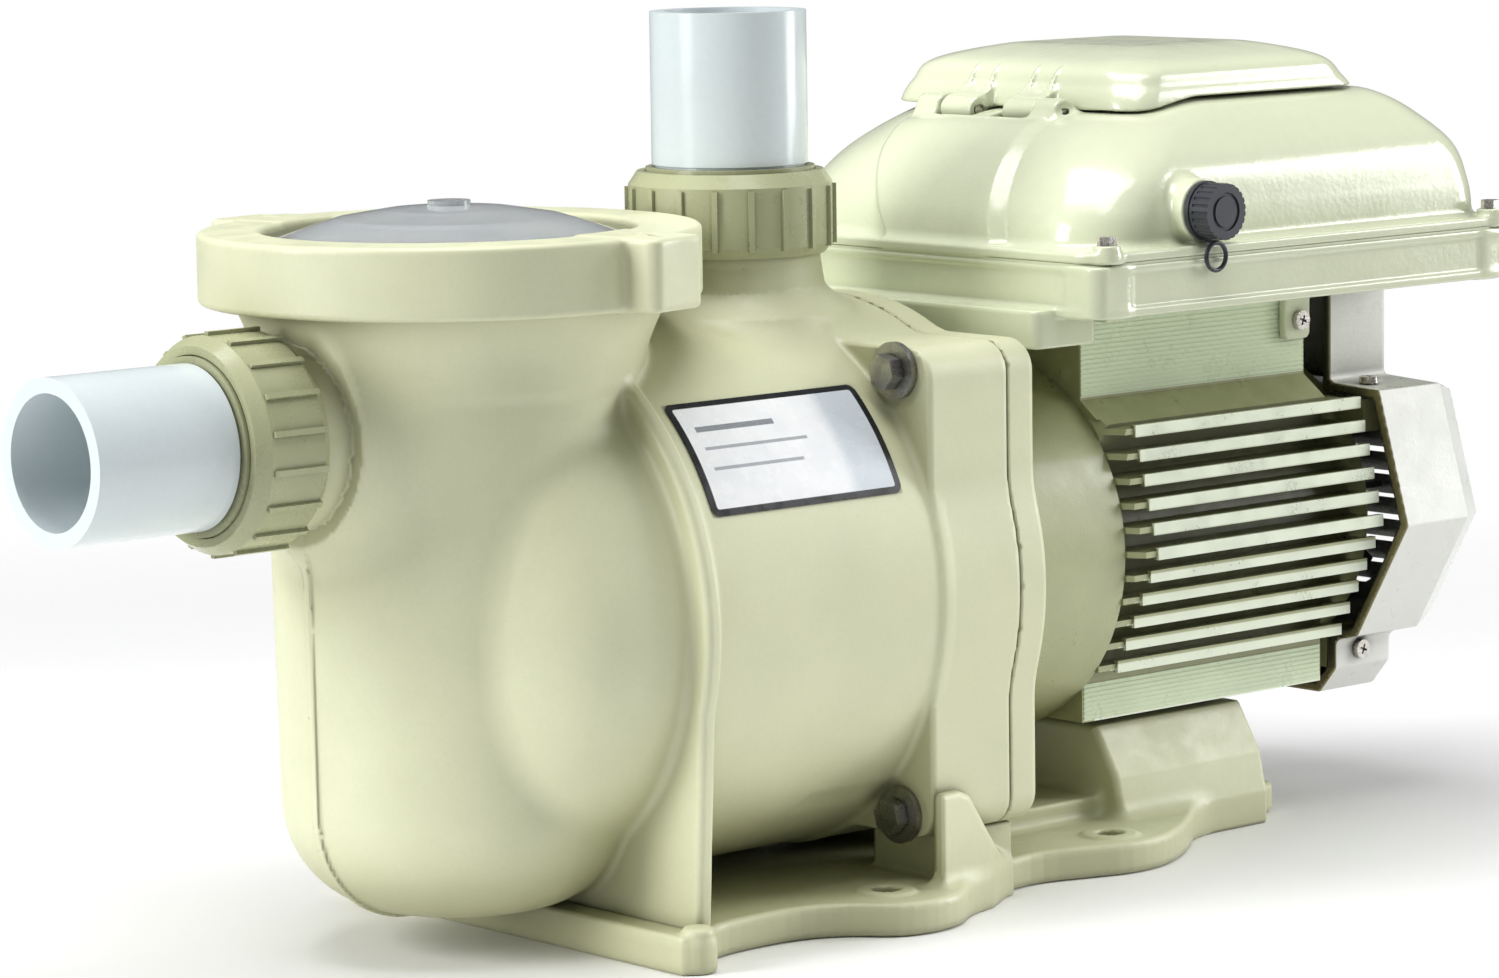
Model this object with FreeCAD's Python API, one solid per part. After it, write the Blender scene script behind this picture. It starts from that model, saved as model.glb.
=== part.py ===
"""Variable speed pool pump: one STEP file per physical piece, in millimetres.

+X runs from the suction pipe towards the motor, +Z is up, and the origin lies on the underside
of the base, straight below the discharge pipe. The pump shaft and the suction pipe are parallel
to X, and everything is symmetric about the plane Y = 0 except the drains, the port and the label.
"""
import FreeCAD, Part
import math
import os

V = FreeCAD.Vector

# ---- driving dimensions -------------------------------------------------------------------
PIPE_R = 30.15            # nominal 2 inch pressure pipe, outside radius
PIPE_BORE_R = 24.6
SPIGOT_R = 28.8           # the glued end of the pipe, inside its socket
SUCTION_Z = 197.0         # suction centreline above the floor
SUCTION_END_X = -317.0    # open end of the suction stub
DISCHARGE_TOP_Z = 342.0   # open end of the discharge stub
SHAFT_Z = 123.0           # motor shaft centreline

POT_X = -138.0            # strainer pot axis
POT_R = 69.5
POT_BORE_R = 62.0
POT_BOTTOM_Z = 14.5
COLLAR_R = 80.0           # pot mouth under the lid
COLLAR_TOP_Z = 254.0
RING_R = 93.0
RING_BOTTOM_Z = 241.5
RING_TOP_Z = 268.0
RING_OPENING_R = 67.0

NUT_R = 39.4              # union nuts, root of the ribs
NUT_RIB = 1.4
NUT_LENGTH = 32.0
THREAD_R = 34.5           # union thread, outside

BARREL_R = 105.5          # volute barrel around the shaft
WEB_X0, WEB_X1 = -110.0, -103.0
WEB_R = 109.5
FLANGE_X0, FLANGE_X1 = 10.0, 51.0
SEAL_PLATE_X1 = 66.0
FLANGE_HALF = 100.0
FLANGE_BOTTOM_Z = 30.0
FLANGE_TOP_Z = 217.0
BOLT_Y = 82.0
BOLT_DZ = 85.0            # housing bolts above and below the shaft

BELL_X1 = 137.5           # motor bell to finned frame joint
BELL_R = 76.6
FRAME_X1 = 284.0
FRAME_R = 67.0
FRAME_BORE_R = 62.0
STATOR_BORE_R = 34.0
FIN_COUNT = 11
FIN_TOP_Z = 171.4
FIN_PITCH = 9.57
NECK_HALF = 52.0          # flat sided block between frame and drive
NECK_X1 = 268.0
NECK_TOP_Z = 222.0
BRACKET_X, BRACKET_Z = 260.5, 206.0
COVER_X0, COVER_X1 = 286.0, 344.0
COVER_BOX_X1 = 322.0      # back of the narrow boxes above and below the fan

DRIVE_X0, DRIVE_X1 = 84.0, 327.0
DRIVE_HALF = 115.0
RIM_Z0, RIM_Z1 = 223.0, 243.0
HINGE_X, HINGE_Z = 142.0, 296.0
LID_X0, LID_X1 = 149.0, 288.0
LID_HALF = 71.0
PORT_X, PORT_Z = 148.0, 261.0
KEYPAD_X0, KEYPAD_X1 = 166.0, 272.0
PANEL_TOP_Z = 296.0
EAR_ANGLE = -77.0         # direction of the near handle ear of the lid ring, from above
LABEL_X0, LABEL_X1 = -96.0, -2.0
LABEL_LOW, LABEL_HIGH = 23.0, 49.0   # degrees above the horizontal, round the barrel

BASE_TOP_Z = 13.0
FRONT_HOLE_X, FRONT_HOLE_Y = -11.0, 95.25
REAR_HOLE_X, REAR_HOLE_Y = 125.0, 79.375
FOOT_HOLE_R = 5.5

RUN = 0.3                 # gap between parts that turn past each other
FIT = 0.05                # radial clearance of a running fit

os.makedirs("parts", exist_ok=True)


# ---- helpers --------------------------------------------------------------------------------
def box(x0, x1, y0, y1, z0, z1):
    return Part.makeBox(x1 - x0, y1 - y0, z1 - z0, V(x0, y0, z0))


def rod_x(x0, x1, r, y=0.0, z=SHAFT_Z):
    return Part.makeCylinder(r, x1 - x0, V(x0, y, z), V(1, 0, 0))


def rod_y(y0, y1, r, x, z):
    return Part.makeCylinder(r, y1 - y0, V(x, y0, z), V(0, 1, 0))


def rod_z(z0, z1, r, x=0.0, y=0.0):
    return Part.makeCylinder(r, z1 - z0, V(x, y, z0), V(0, 0, 1))


def tube_x(x0, x1, r, bore, y=0.0, z=SHAFT_Z):
    return rod_x(x0, x1, r, y, z).cut(rod_x(x0 - 1, x1 + 1, bore, y, z))


def tube_z(z0, z1, r, bore, x=0.0, y=0.0):
    return rod_z(z0, z1, r, x, y).cut(rod_z(z0 - 1, z1 + 1, bore, x, y))


def turned(profile, place, axis):
    """Revolve (along, radius) pairs about a line through place; axis is "x", "y" or "z"."""
    along = {"x": V(1, 0, 0), "y": V(0, 1, 0), "z": V(0, 0, 1)}[axis]
    out = V(0, 0, 1) if axis != "z" else V(1, 0, 0)
    points = [place + along * a + out * r for a, r in profile]
    wire = Part.makePolygon(points + [points[0]])
    return Part.Face(wire).revolve(place, along, 360)


def plate(points, z0, z1):
    """A flat plate with the given plan outline."""
    corners = [V(x, y, z0) for x, y in points]
    return Part.Face(Part.makePolygon(corners + [corners[0]])).extrude(V(0, 0, z1 - z0))


def slab_x(points, x0, x1):
    """A plate across the shaft with the given (y, z) outline."""
    corners = [V(x0, y, z) for y, z in points]
    return Part.Face(Part.makePolygon(corners + [corners[0]])).extrude(V(x1 - x0, 0, 0))


def slab_y(points, y0, y1):
    """A plate along the shaft with the given (x, z) outline."""
    corners = [V(x, y0, z) for x, z in points]
    return Part.Face(Part.makePolygon(corners + [corners[0]])).extrude(V(0, y1 - y0, 0))


def rounded_wire(x0, x1, half, r, z):
    """A closed rectangle with round corners, centred on Y = 0."""
    edges = []
    corners = [(x1 - r, half - r, 0), (x0 + r, half - r, 90),
               (x0 + r, r - half, 180), (x1 - r, r - half, 270)]
    for i, (cx, cy, start) in enumerate(corners):
        a, m, b = (math.radians(start + d) for d in (0, 45, 90))
        arc = [V(cx + r * math.cos(t), cy + r * math.sin(t), z) for t in (a, m, b)]
        edges.append(Part.Arc(*arc).toShape())
        nx, ny, after = corners[(i + 1) % 4]
        t = math.radians(after)
        edges.append(Part.makeLine(arc[2], V(nx + r * math.cos(t), ny + r * math.sin(t), z)))
    return Part.Wire(edges)


def loft(sections):
    """A solid through (x0, x1, half width, corner radius, z) sections."""
    return Part.makeLoft([rounded_wire(*s) for s in sections], True, True)


def joined(first, *rest):
    shape = first
    for other in rest:
        shape = shape.fuse(other)
    return shape.removeSplitter()


def mirrored(shape):
    return shape.mirror(V(0, 0, 0), V(0, 1, 0))


def save(name, shape):
    shape.exportStep("parts/" + name + ".step")


def hex_screw_x(x, y, z, r, flange_r, head, length, towards=1):
    """A flange head hex screw along X; x is the seat, and the shank runs towards +X or -X."""
    head_side = -towards
    hexagon = []
    for i in range(6):
        a = math.radians(60 * i + 15)
        across = 1.72 * r
        hexagon.append((y + across * math.cos(a), z + across * math.sin(a)))
    span = sorted((x, x + head_side * head))
    body = slab_x(hexagon, *span)
    span = sorted((x, x + head_side * 0.3 * head))
    body = body.fuse(rod_x(span[0], span[1], flange_r, y, z))
    span = sorted((x, x + towards * length))
    return body.fuse(rod_x(span[0], span[1], r, y, z)).removeSplitter()


def pan_screw(place, direction, r, length):
    """A small cross-slot pan head screw; place is the seat, direction is out of the head."""
    head = Part.makeCylinder(1.9 * r, 1.3 * r, place, direction)
    shank = Part.makeCylinder(r, length, place, direction * -1)
    side = direction.cross(V(0.3, 0.5, 0.8)).normalize()
    slots = []
    for arm in (side, direction.cross(side)):
        across = direction.cross(arm)
        slot = Part.makeBox(2.0 * r, 0.45 * r, 0.8 * r)
        frame = FreeCAD.Matrix(arm.x, across.x, direction.x, 0, arm.y, across.y, direction.y, 0,
                               arm.z, across.z, direction.z, 0, 0, 0, 0, 1)
        slot.translate(V(-r, -0.225 * r, 0.7 * r))
        slot = slot.transformGeometry(frame)
        slot.translate(place)
        slots.append(slot)
    return head.fuse(shank).cut(slots[0]).cut(slots[1])


# ---- wet end ---------------------------------------------------------------------------------
def barrel_outline(half, radius):
    """Square flange with round corners joined to the round barrel, as an extruded solid maker."""
    def make(x0, x1):
        square = box(x0, x1, -half, half, FLANGE_BOTTOM_Z, FLANGE_TOP_Z)
        edges = [e for e in square.Edges if abs(e.Vertexes[0].X - e.Vertexes[-1].X) > 1]
        return square.makeFillet(12.0, edges).fuse(rod_x(x0, x1, radius))
    return make


def pot_outside():
    corner = 42.0
    flat = POT_R - 3.0 - corner
    profile = [(POT_BOTTOM_Z, 0), (POT_BOTTOM_Z, flat)]
    for i in range(1, 7):                     # round bottom corner
        a = math.radians(15 * i)
        profile.append((POT_BOTTOM_Z + corner * (1 - math.cos(a)), flat + corner * math.sin(a)))
    profile += [(205, POT_R), (222, 72.5), (233, 77), (242, COLLAR_R), (COLLAR_TOP_Z, COLLAR_R),
                (COLLAR_TOP_Z, 0)]
    return turned(profile, V(POT_X, 0, 0), "z")


def nose_outside():
    """Dome in front of the web, around the impeller eye passage."""
    centre, depth, radius = -105.0, 80.0, 103.0
    profile = [(centre - depth, 0)]
    for i in range(1, 10):
        a = math.radians(10 * i)
        profile.append((centre - depth * math.cos(a), radius * math.sin(a)))
    profile += [(WEB_X1, radius), (WEB_X1, 0)]
    return turned(profile, V(0, 0, SHAFT_Z), "x")


def web():
    """Arched plate in front of the barrel that stands on the base."""
    legs = slab_x([(-107, SHAFT_Z), (-101, BASE_TOP_Z), (101, BASE_TOP_Z), (107, SHAFT_Z)],
                  WEB_X0, WEB_X1)
    return legs.fuse(rod_x(WEB_X0, WEB_X1, WEB_R))


def bolt_pockets():
    """Room for the four bolt heads in the corners of the flange, in front of the seats."""
    cuts = []
    for y in (-BOLT_Y, BOLT_Y):
        for dz in (-BOLT_DZ, BOLT_DZ):
            cuts.append(rod_x(-32, FLANGE_X0, 12.5, y, SHAFT_Z + dz))
    return Part.makeCompound(cuts)


def pump_housing():
    outside = barrel_outline(FLANGE_HALF, BARREL_R + 1)(FLANGE_X0, FLANGE_X1)
    outside = joined(outside, rod_x(WEB_X1, FLANGE_X0, BARREL_R), web(), nose_outside())
    outside = joined(outside, pot_outside())
    boss = turned([(-212, 0), (-212, 41), (-196, 44), (-165, 52), (-165, 0)],
                  V(0, 0, SUCTION_Z), "x")
    neck = turned([(200, 0), (200, 48), (229, 42), (236, 35.5), (246, 35.5), (246, 0)],
                  V(0, 0, 0), "z")
    outside = joined(outside, boss, neck)
    for x, z, face in drains():
        outside = outside.fuse(rod_y(40, face, 13.0, x, z))
    threads = joined(rod_x(-241, -211, THREAD_R, 0, SUCTION_Z), rod_z(245, 267, THREAD_R))
    rib = rod_z(60, 225, 1.6, POT_X - POT_R + 0.6)
    lugs = bayonet_lugs()
    outside = joined(outside, threads, rib)
    outside = outside.fuse(lugs)
    outside = outside.cut(bolt_pockets())

    pot_room = turned([(20.5, 0), (20.5, 32), (27, 46), (43, 57.5), (68, POT_BORE_R - 1),
                       (256, POT_BORE_R), (256, 0)], V(POT_X, 0, 0), "z")
    eye = rod_x(POT_X, -20, 27)
    volute = rod_x(-36, FLANGE_X1 + 1, 92)
    outlet = rod_z(SHAFT_Z + 60, 268, 25.5)
    inlet = rod_x(-242, POT_X, 25.5, 0, SUCTION_Z)
    seal_step = rod_x(FLANGE_X1 - 4.2, FLANGE_X1 + 1, 96.5)
    outside = outside.cut(pot_room).cut(eye).cut(volute).cut(outlet).cut(inlet).cut(seal_step)
    for y in (-BOLT_Y, BOLT_Y):
        for dz in (-BOLT_DZ, BOLT_DZ):
            outside = outside.cut(rod_x(0, FLANGE_X1 + 1, 4.3, y, SHAFT_Z + dz))
    for x, z, depth in drains():
        outside = outside.cut(rod_y(40, depth + 1, 8.0, x, z))
    return outside.removeSplitter()


def bayonet_lugs():
    """Four lugs round the pot mouth that the lid ring's tabs slide under."""
    lug_ring = tube_z(247, 253, 84.0, COLLAR_R - 1, POT_X)
    keep = []
    for i in range(4):
        sector = box(0, 120, -14, 14, 240, 260)
        sector.rotate(V(0, 0, 0), V(0, 0, 1), 45 + 90 * i)
        sector.translate(V(POT_X, 0, 0))
        keep.append(lug_ring.common(sector))
    return Part.makeCompound(keep)


def drains():
    """(x, z, face y) of the two drain bosses on the far side."""
    return [(-126.0, 52.0, 82.0), (-60.0, 50.0, 90.0)]


def drain_plug(x, z, face):
    plug = rod_y(face - 12, face + 1, 8.0 - FIT, x, z)
    head = rod_y(face + 1, face + 7, 11.0, x, z)
    wing = box(x - 10, x + 10, face + 7, face + 16, z - 2.5, z + 2.5)
    return joined(plug, head, wing)


def seal_plate():
    outer = barrel_outline(FLANGE_HALF, BARREL_R + 1)(FLANGE_X1, SEAL_PLATE_X1)
    spigot = rod_x(FLANGE_X1 - 6, FLANGE_X1, 91.5)
    hub = rod_x(FLANGE_X1 - 16, FLANGE_X1, 30.0)
    outer = joined(outer, spigot, hub)
    outer = outer.cut(rod_x(0, 100, 12.0)).cut(rod_x(FLANGE_X1 - 17, FLANGE_X1 - 6, 21.0))
    outer = outer.cut(rod_x(FLANGE_X1 + 6, SEAL_PLATE_X1 + 1, 30.0))
    for y in (-BOLT_Y, BOLT_Y):
        for dz in (-BOLT_DZ, BOLT_DZ):
            outer = outer.cut(rod_x(FLANGE_X1 - 1, SEAL_PLATE_X1 - 3, 4.0, y, SHAFT_Z + dz))
    for y, z in bell_bolt_places():
        outer = outer.cut(rod_x(FLANGE_X1 + 6, SEAL_PLATE_X1 + 1, 3.0, y, z))
    return outer


def bell_bolt_places():
    return [(45 * math.cos(math.radians(a)), SHAFT_Z + 45 * math.sin(math.radians(a)))
            for a in (45, 135, 225, 315)]


def housing_bolts():
    made = []
    for y in (-BOLT_Y, BOLT_Y):
        for dz in (-BOLT_DZ, BOLT_DZ):
            made.append(hex_screw_x(FLANGE_X0, y, SHAFT_Z + dz, 4.0, 11.0, 8.5, 52.0))
    return Part.makeCompound(made)


def diffuser():
    """Ring with guide vanes around the impeller, open at the eye."""
    shell = turned([(-34, 28), (-34, 74), (8, 88), (8, 84), (-31, 70), (-31, 28)],
                   V(0, 0, SHAFT_Z), "x")
    collar = tube_x(-35.7, -31, 31.0, 26.8)
    shape = shell.fuse(collar)
    for i in range(8):
        vane = box(-30, 6, 72.5, 75.5, -9, 9)
        vane.rotate(V(0, 74, 0), V(1, 0, 0), 35)
        vane.rotate(V(0, 0, 0), V(1, 0, 0), 45 * i)
        vane.translate(V(0, 0, SHAFT_Z))
        shape = shape.fuse(vane.common(turned([(-32, 0), (-32, 71), (6, 84), (6, 0)],
                                              V(0, 0, SHAFT_Z), "x")))
    return shape.removeSplitter()


def impeller():
    front = turned([(-24, 22), (-24, 25), (-12, 27), (-4, 34), (0, 62), (3, 62), (-1, 33), (-9, 22)],
                   V(0, 0, SHAFT_Z), "x")
    back = rod_x(12, 15.5, 62)
    hub = turned([(-6, 0), (-2, 9), (12, 13), (30, 13), (30, 0)], V(0, 0, SHAFT_Z), "x")
    shape = front.fuse(back).fuse(hub)
    envelope = turned([(-5, 10), (-2.2, 36), (1.5, 61.5), (12.5, 61.5), (12.5, 10)],
                      V(0, 0, SHAFT_Z), "x")
    for i in range(6):
        vane = tube_x(-12, 13, 46.0, 44.0, 0, 0).common(box(-12, 13, 0, 50, -50, 12))
        vane.translate(V(0, -22, 26))
        vane.rotate(V(0, 0, 0), V(1, 0, 0), 60 * i)
        vane.translate(V(0, 0, SHAFT_Z))
        shape = shape.fuse(vane.common(envelope))
    shape = shape.cut(rod_x(2, 31, 6.35 + 0.0)).cut(rod_x(-8, 3, 3.0))
    return shape


def suction_union():
    """Nut, tailpiece, seal and glued pipe stub of the inlet, running along X."""
    place = V(0, 0, SUCTION_Z)
    nut = union_nut(place, "x", -255.0, -1)
    tail = turned([(-241.8, 31.5), (-241.8, 33.8), (-246.5, 33.8), (-246.5, 32.6), (-256.5, 32.6),
                   (-256.5, SPIGOT_R), (-244.5, SPIGOT_R), (-244.5, PIPE_BORE_R),
                   (-241.8, PIPE_BORE_R), (-241.8, 27.0), (-243.0, 27.0), (-243.0, 31.5)], place, "x")
    seal = turned([(-241, 27.2), (-242.9, 27.2), (-242.9, 31.3), (-241, 31.3)], place, "x")
    pipe = tube_x(SUCTION_END_X, -257.5, PIPE_R, PIPE_BORE_R, 0, SUCTION_Z)
    pipe = pipe.fuse(tube_x(-257.5, -244.5, SPIGOT_R, PIPE_BORE_R, 0, SUCTION_Z))
    return nut, tail, seal, pipe


def discharge_union():
    place = V(0, 0, 0)
    nut = union_nut(place, "z", 281.0, 1)
    tail = turned([(267.8, 31.5), (267.8, 33.8), (272.5, 33.8), (272.5, 32.6), (282.5, 32.6),
                   (282.5, SPIGOT_R), (270.5, SPIGOT_R), (270.5, PIPE_BORE_R),
                   (267.8, PIPE_BORE_R), (267.8, 27.0), (269.0, 27.0), (269.0, 31.5)], place, "z")
    seal = turned([(267, 27.2), (268.9, 27.2), (268.9, 31.3), (267, 31.3)], place, "z")
    pipe = tube_z(283.5, DISCHARGE_TOP_Z, PIPE_R, PIPE_BORE_R)
    pipe = pipe.fuse(tube_z(270.5, 283.5, SPIGOT_R, PIPE_BORE_R))
    return nut, tail, seal, pipe


def union_nut(place, axis, front, side):
    """A ribbed nut; front is its outer face along the axis, and side points out of it."""
    def at(depth):
        return front - side * depth
    end = NUT_LENGTH
    outline = [(at(0), 33.0), (at(0), 36.0), (at(5), NUT_R), (at(end - 4), NUT_R),
               (at(end), NUT_R - 3.0), (at(end), THREAD_R + RUN), (at(7.9), THREAD_R + RUN),
               (at(7.9), 33.0)]
    nut = turned(outline, place, axis)
    low, high = sorted((at(6), at(end - 3)))
    ribs = []
    for i in range(18):
        a = 20.0 * i
        if axis == "x":
            rib = box(low, high, -1.1, 1.1, NUT_R - 1, NUT_R + NUT_RIB)
            rib.rotate(V(0, 0, 0), V(1, 0, 0), a)
        else:
            rib = box(NUT_R - 1, NUT_R + NUT_RIB, -1.1, 1.1, low, high)
            rib.rotate(V(0, 0, 0), V(0, 0, 1), a)
        rib.translate(place)
        ribs.append(rib)
    return nut.fuse(ribs)


def lid_ring():
    """Clamp ring with two handle ears and four inner tabs."""
    profile = [(RING_BOTTOM_Z, 85.5), (RING_BOTTOM_Z, RING_R - 1), (RING_BOTTOM_Z + 1.5, RING_R),
               (RING_TOP_Z - 3, RING_R), (RING_TOP_Z, RING_R - 3), (RING_TOP_Z, RING_OPENING_R + 2),
               (RING_TOP_Z - 2, RING_OPENING_R), (RING_TOP_Z - 7, RING_OPENING_R),
               (RING_TOP_Z - 7, 85.5)]
    ring = turned(profile, V(POT_X, 0, 0), "z")
    for side in (0, 180):
        ear = box(80, 104, -15, 15, RING_BOTTOM_Z, RING_TOP_Z)
        ear = ear.fuse(rod_z(RING_BOTTOM_Z, RING_TOP_Z, 15, 93, 0)).common(
            box(80, 106, -15, 15, RING_BOTTOM_Z, RING_TOP_Z))
        ear.rotate(V(0, 0, 0), V(0, 0, 1), EAR_ANGLE + side)
        ear.translate(V(POT_X, 0, 0))
        ring = ring.fuse(ear)
    ring = ring.cut(rod_z(RING_BOTTOM_Z - 1, RING_TOP_Z - 7, 85.5, POT_X))
    for i in range(4):
        sector = box(0, 120, -11, 11, RING_BOTTOM_Z, RING_BOTTOM_Z + 4.5)
        sector.rotate(V(0, 0, 0), V(0, 0, 1), 90 * i)
        sector.translate(V(POT_X, 0, 0))
        tab = tube_z(RING_BOTTOM_Z, RING_BOTTOM_Z + 4.5, 86.0, 81.0, POT_X).common(sector)
        ring = ring.fuse(tab)
    return ring


def clear_lid():
    """Domed see-through lid with a flat clamped rim."""
    top = RING_TOP_Z - 7.3
    profile = [(COLLAR_TOP_Z + 0.3, 59), (COLLAR_TOP_Z + 0.3, 78), (top, 78), (top, 64)]
    dome = [(64, 4), (56, 6.5), (42, 11), (24, 14), (8, 15.2), (8, 17), (0, 17)]
    profile += [(top + h, r) for r, h in dome]
    profile += [(top + 11.5, 0), (top + 10.5, 24), (top + 7, 42), (top + 2.5, 56),
                (top - 2, 59)]
    return turned(profile, V(POT_X, 0, 0), "z")


def lid_seal():
    return tube_z(COLLAR_TOP_Z - 3.0, COLLAR_TOP_Z + 0.3, 61.8, 59.3, POT_X)


def strainer_basket():
    """Slotted basket with a rim, a window for the inlet and a wire-like handle."""
    outer = turned([(30, 0), (30, 43), (44, 54), (236, 58), (236, 60.5), (240, 60.5), (240, 56.5),
                    (232, 56), (46, 52), (32.5, 41.5), (32.5, 0)], V(POT_X, 0, 0), "z")
    outer = outer.cut(box(POT_X - 62, POT_X - 20, -27, 27, SUCTION_Z - 27, SUCTION_Z + 27))
    slots = []
    for i in range(12):
        for low in (48, 76, 104, 132):
            slot = box(-60, 60, -2.2, 2.2, low, low + 23)
            slot.rotate(V(0, 0, 0), V(0, 0, 1), 15.0 * i + 7.5)
            slot.translate(V(POT_X, 0, 0))
            slots.append(slot)
    for i in range(5):
        slots.append(box(POT_X - 30, POT_X + 30, -26 + 12 * i, -22 + 12 * i, 28, 34))
    outer = outer.cut(Part.makeCompound(slots))
    handle = box(POT_X - 4, POT_X + 4, -57.0, 57.0, 222, 225)
    return outer.fuse(handle)


# ---- base ------------------------------------------------------------------------------------
def base_outline():
    """Half plan outline of the foot on the near side, from front to back."""
    points = [(-122, 0), (-122, -105), (-117, -111), (-106, -111), (-98, -103), (-86, -92),
              (-60, -91)]
    lobe = [(FRONT_HOLE_X + 27 * math.cos(math.radians(a)), -FRONT_HOLE_Y + 24 * math.sin(
        math.radians(a))) for a in range(190, 350, 20)]
    points += lobe
    points += [(38, -101), (50, -92), (62, -84), (84, -83), (104, -90), (125, -96), (150, -92),
               (172, -79), (198, -60), (214, -54), (246, -52), (256, -46), (256, 0)]
    return points


def base_foot():
    near = plate(base_outline(), 0, BASE_TOP_Z)
    foot = near.fuse(mirrored(near)).removeSplitter()
    lip = box(-122, -111.2, -108, 108, BASE_TOP_Z - 1, BASE_TOP_Z + 1.2)
    foot = foot.fuse(lip)
    foot = foot.cut(plate([(-123, 96), (-123, 112), (-105, 112)], -1, BASE_TOP_Z + 2))
    for side in (1, -1):
        wall = plate([(8, -108), (8, -102.6), (38, -100.4), (60, -87), (60, -91), (38, -105)],
                     BASE_TOP_Z - 1, 50)
        profile = slab_y([(7, 0), (7, 49), (20, 49), (26, 46), (38, 29.5), (50, 20), (61, 13.5), (61, 0)],
                         -110, -80)
        wall = wall.common(profile)
        pad = box(20, 60, -90, -55, BASE_TOP_Z - 1, FLANGE_BOTTOM_Z)
        if side > 0:
            wall = mirrored(wall)
            pad = mirrored(pad)
        boss = rod_z(BASE_TOP_Z - 1, BASE_TOP_Z + 1.0, 11, FRONT_HOLE_X, side * FRONT_HOLE_Y)
        foot = foot.fuse(wall).fuse(pad).fuse(boss)
    saddle = slab_x([(-62, BASE_TOP_Z - 1), (-58, 30), (-46, 50), (46, 50), (58, 30),
                     (62, BASE_TOP_Z - 1)], 150, 236)
    saddle = saddle.cut(box(158, 240, -44, 44, 20, 43))
    bridge = box(66.3, 160, -50, 50, BASE_TOP_Z - 1, 22)
    foot = foot.fuse(saddle).fuse(bridge)
    for x, y in foot_holes():
        foot = foot.cut(rod_z(-1, 30, FOOT_HOLE_R, x, y))
    return foot.removeSplitter()


def foot_holes():
    return [(x, s * y) for x, y in ((FRONT_HOLE_X, FRONT_HOLE_Y), (REAR_HOLE_X, REAR_HOLE_Y))
            for s in (-1, 1)]


def motor_pad():
    return box(160, 226, -40, 40, 50, 53)


# ---- motor -----------------------------------------------------------------------------------
def front_bell():
    bell = turned([(SEAL_PLATE_X1, 12.5), (SEAL_PLATE_X1, 80), (SEAL_PLATE_X1 + 6, 80),
                   (SEAL_PLATE_X1 + 10, 77.5), (BELL_X1, BELL_R), (BELL_X1, 66), (128, 62),
                   (80, 60), (76, 56), (76, 26), (96, 26), (96, 20.05), (80, 20.05), (80, 12.5)],
                  V(0, 0, SHAFT_Z), "x")
    for y, z in bell_bolt_places():
        bell = bell.cut(rod_x(SEAL_PLATE_X1 - 1, 90, 3.3, y, z))
    return bell


def fin_reach(z):
    """Half width of the fin envelope at height z."""
    if z > SHAFT_Z:
        return 85.5 - 0.26 * (z - SHAFT_Z)
    return 85.5 - 0.49 * (SHAFT_Z - z)


def motor_frame():
    """Round frame with a flat sided neck above, a pad below and level fins on both sides."""
    core = rod_x(BELL_X1, FRAME_X1, FRAME_R)
    neck = slab_x([(-NECK_HALF, NECK_TOP_Z), (-NECK_HALF, 183), (-64, 174), (-58, 150), (58, 150),
                   (64, 174), (NECK_HALF, 183), (NECK_HALF, NECK_TOP_Z)], BELL_X1, NECK_X1)
    pad = slab_x([(-NECK_HALF, 100), (-NECK_HALF, 53), (NECK_HALF, 53), (NECK_HALF, 100)],
                 BELL_X1, FRAME_X1 - 6)
    core = core.fuse(neck).fuse(pad)
    for i in range(FIN_COUNT):
        z = FIN_TOP_Z - FIN_PITCH * i
        reach = fin_reach(z)
        stem = box(BELL_X1, FRAME_X1 - 4, -reach + 1, reach - 1, z - 1.2, z + 1.2)
        tip = box(BELL_X1 + 10, FRAME_X1 - 4, -reach, -reach + 2.5, z - 2.4, z + 2.4)
        core = core.fuse(stem).fuse(tip).fuse(mirrored(tip))
    taper = turned([(BELL_X1 - 1, BELL_R - 0.5), (BELL_X1 + 11, 96), (BELL_X1 + 11, 112),
                    (BELL_X1 - 1, 112)], V(0, 0, SHAFT_Z), "x")
    core = core.cut(taper.common(box(BELL_X1 - 2, BELL_X1 + 12, -112, 112, 66, 176)))
    core = core.cut(rod_x(BELL_X1 - 1, FRAME_X1 + 1, FRAME_BORE_R))
    core = core.cut(box(BELL_X1 + 12, NECK_X1 - 12, -42, 42, 190, NECK_TOP_Z + 1))
    for side in (-1, 1):
        span = sorted((side * (NECK_HALF - 9), side * (NECK_HALF + 1)))
        core = core.cut(rod_y(*span, 2.2, BRACKET_X, BRACKET_Z))
    return core.removeSplitter()


def rear_bell():
    """End bell with four lugs that carry the fan cover."""
    x0, x1 = FRAME_X1, FRAME_X1 + 8
    bell = turned([(x0, 10.5), (x0, 20.05), (x0 - 14, 20.05), (x0 - 14, 26), (x0 - 2, 26),
                   (x0 - 2, 61.9), (x0, 61.9), (x0, 66), (x1, 66), (x1, 10.5)],
                  V(0, 0, SHAFT_Z), "x")
    for side in (-1, 1):
        upper = box(x0 + 3, x0 + 19, *sorted((side * 30, side * 68)), 158, 171.6)
        lower = box(x0 + 3, x0 + 22, *sorted((side * 28, side * 47.6)), 57, 74)
        bell = bell.fuse(upper).fuse(lower)
        bell = bell.cut(rod_z(160, 172, 2.2, x0 + 13, side * 62))
        bell = bell.cut(rod_y(*sorted((side * 36, side * 49)), 2.2, x0 + 17, 64))
    return bell.cut(rod_x(x0 + 9, x0 + 30, 55)).removeSplitter()


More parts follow.
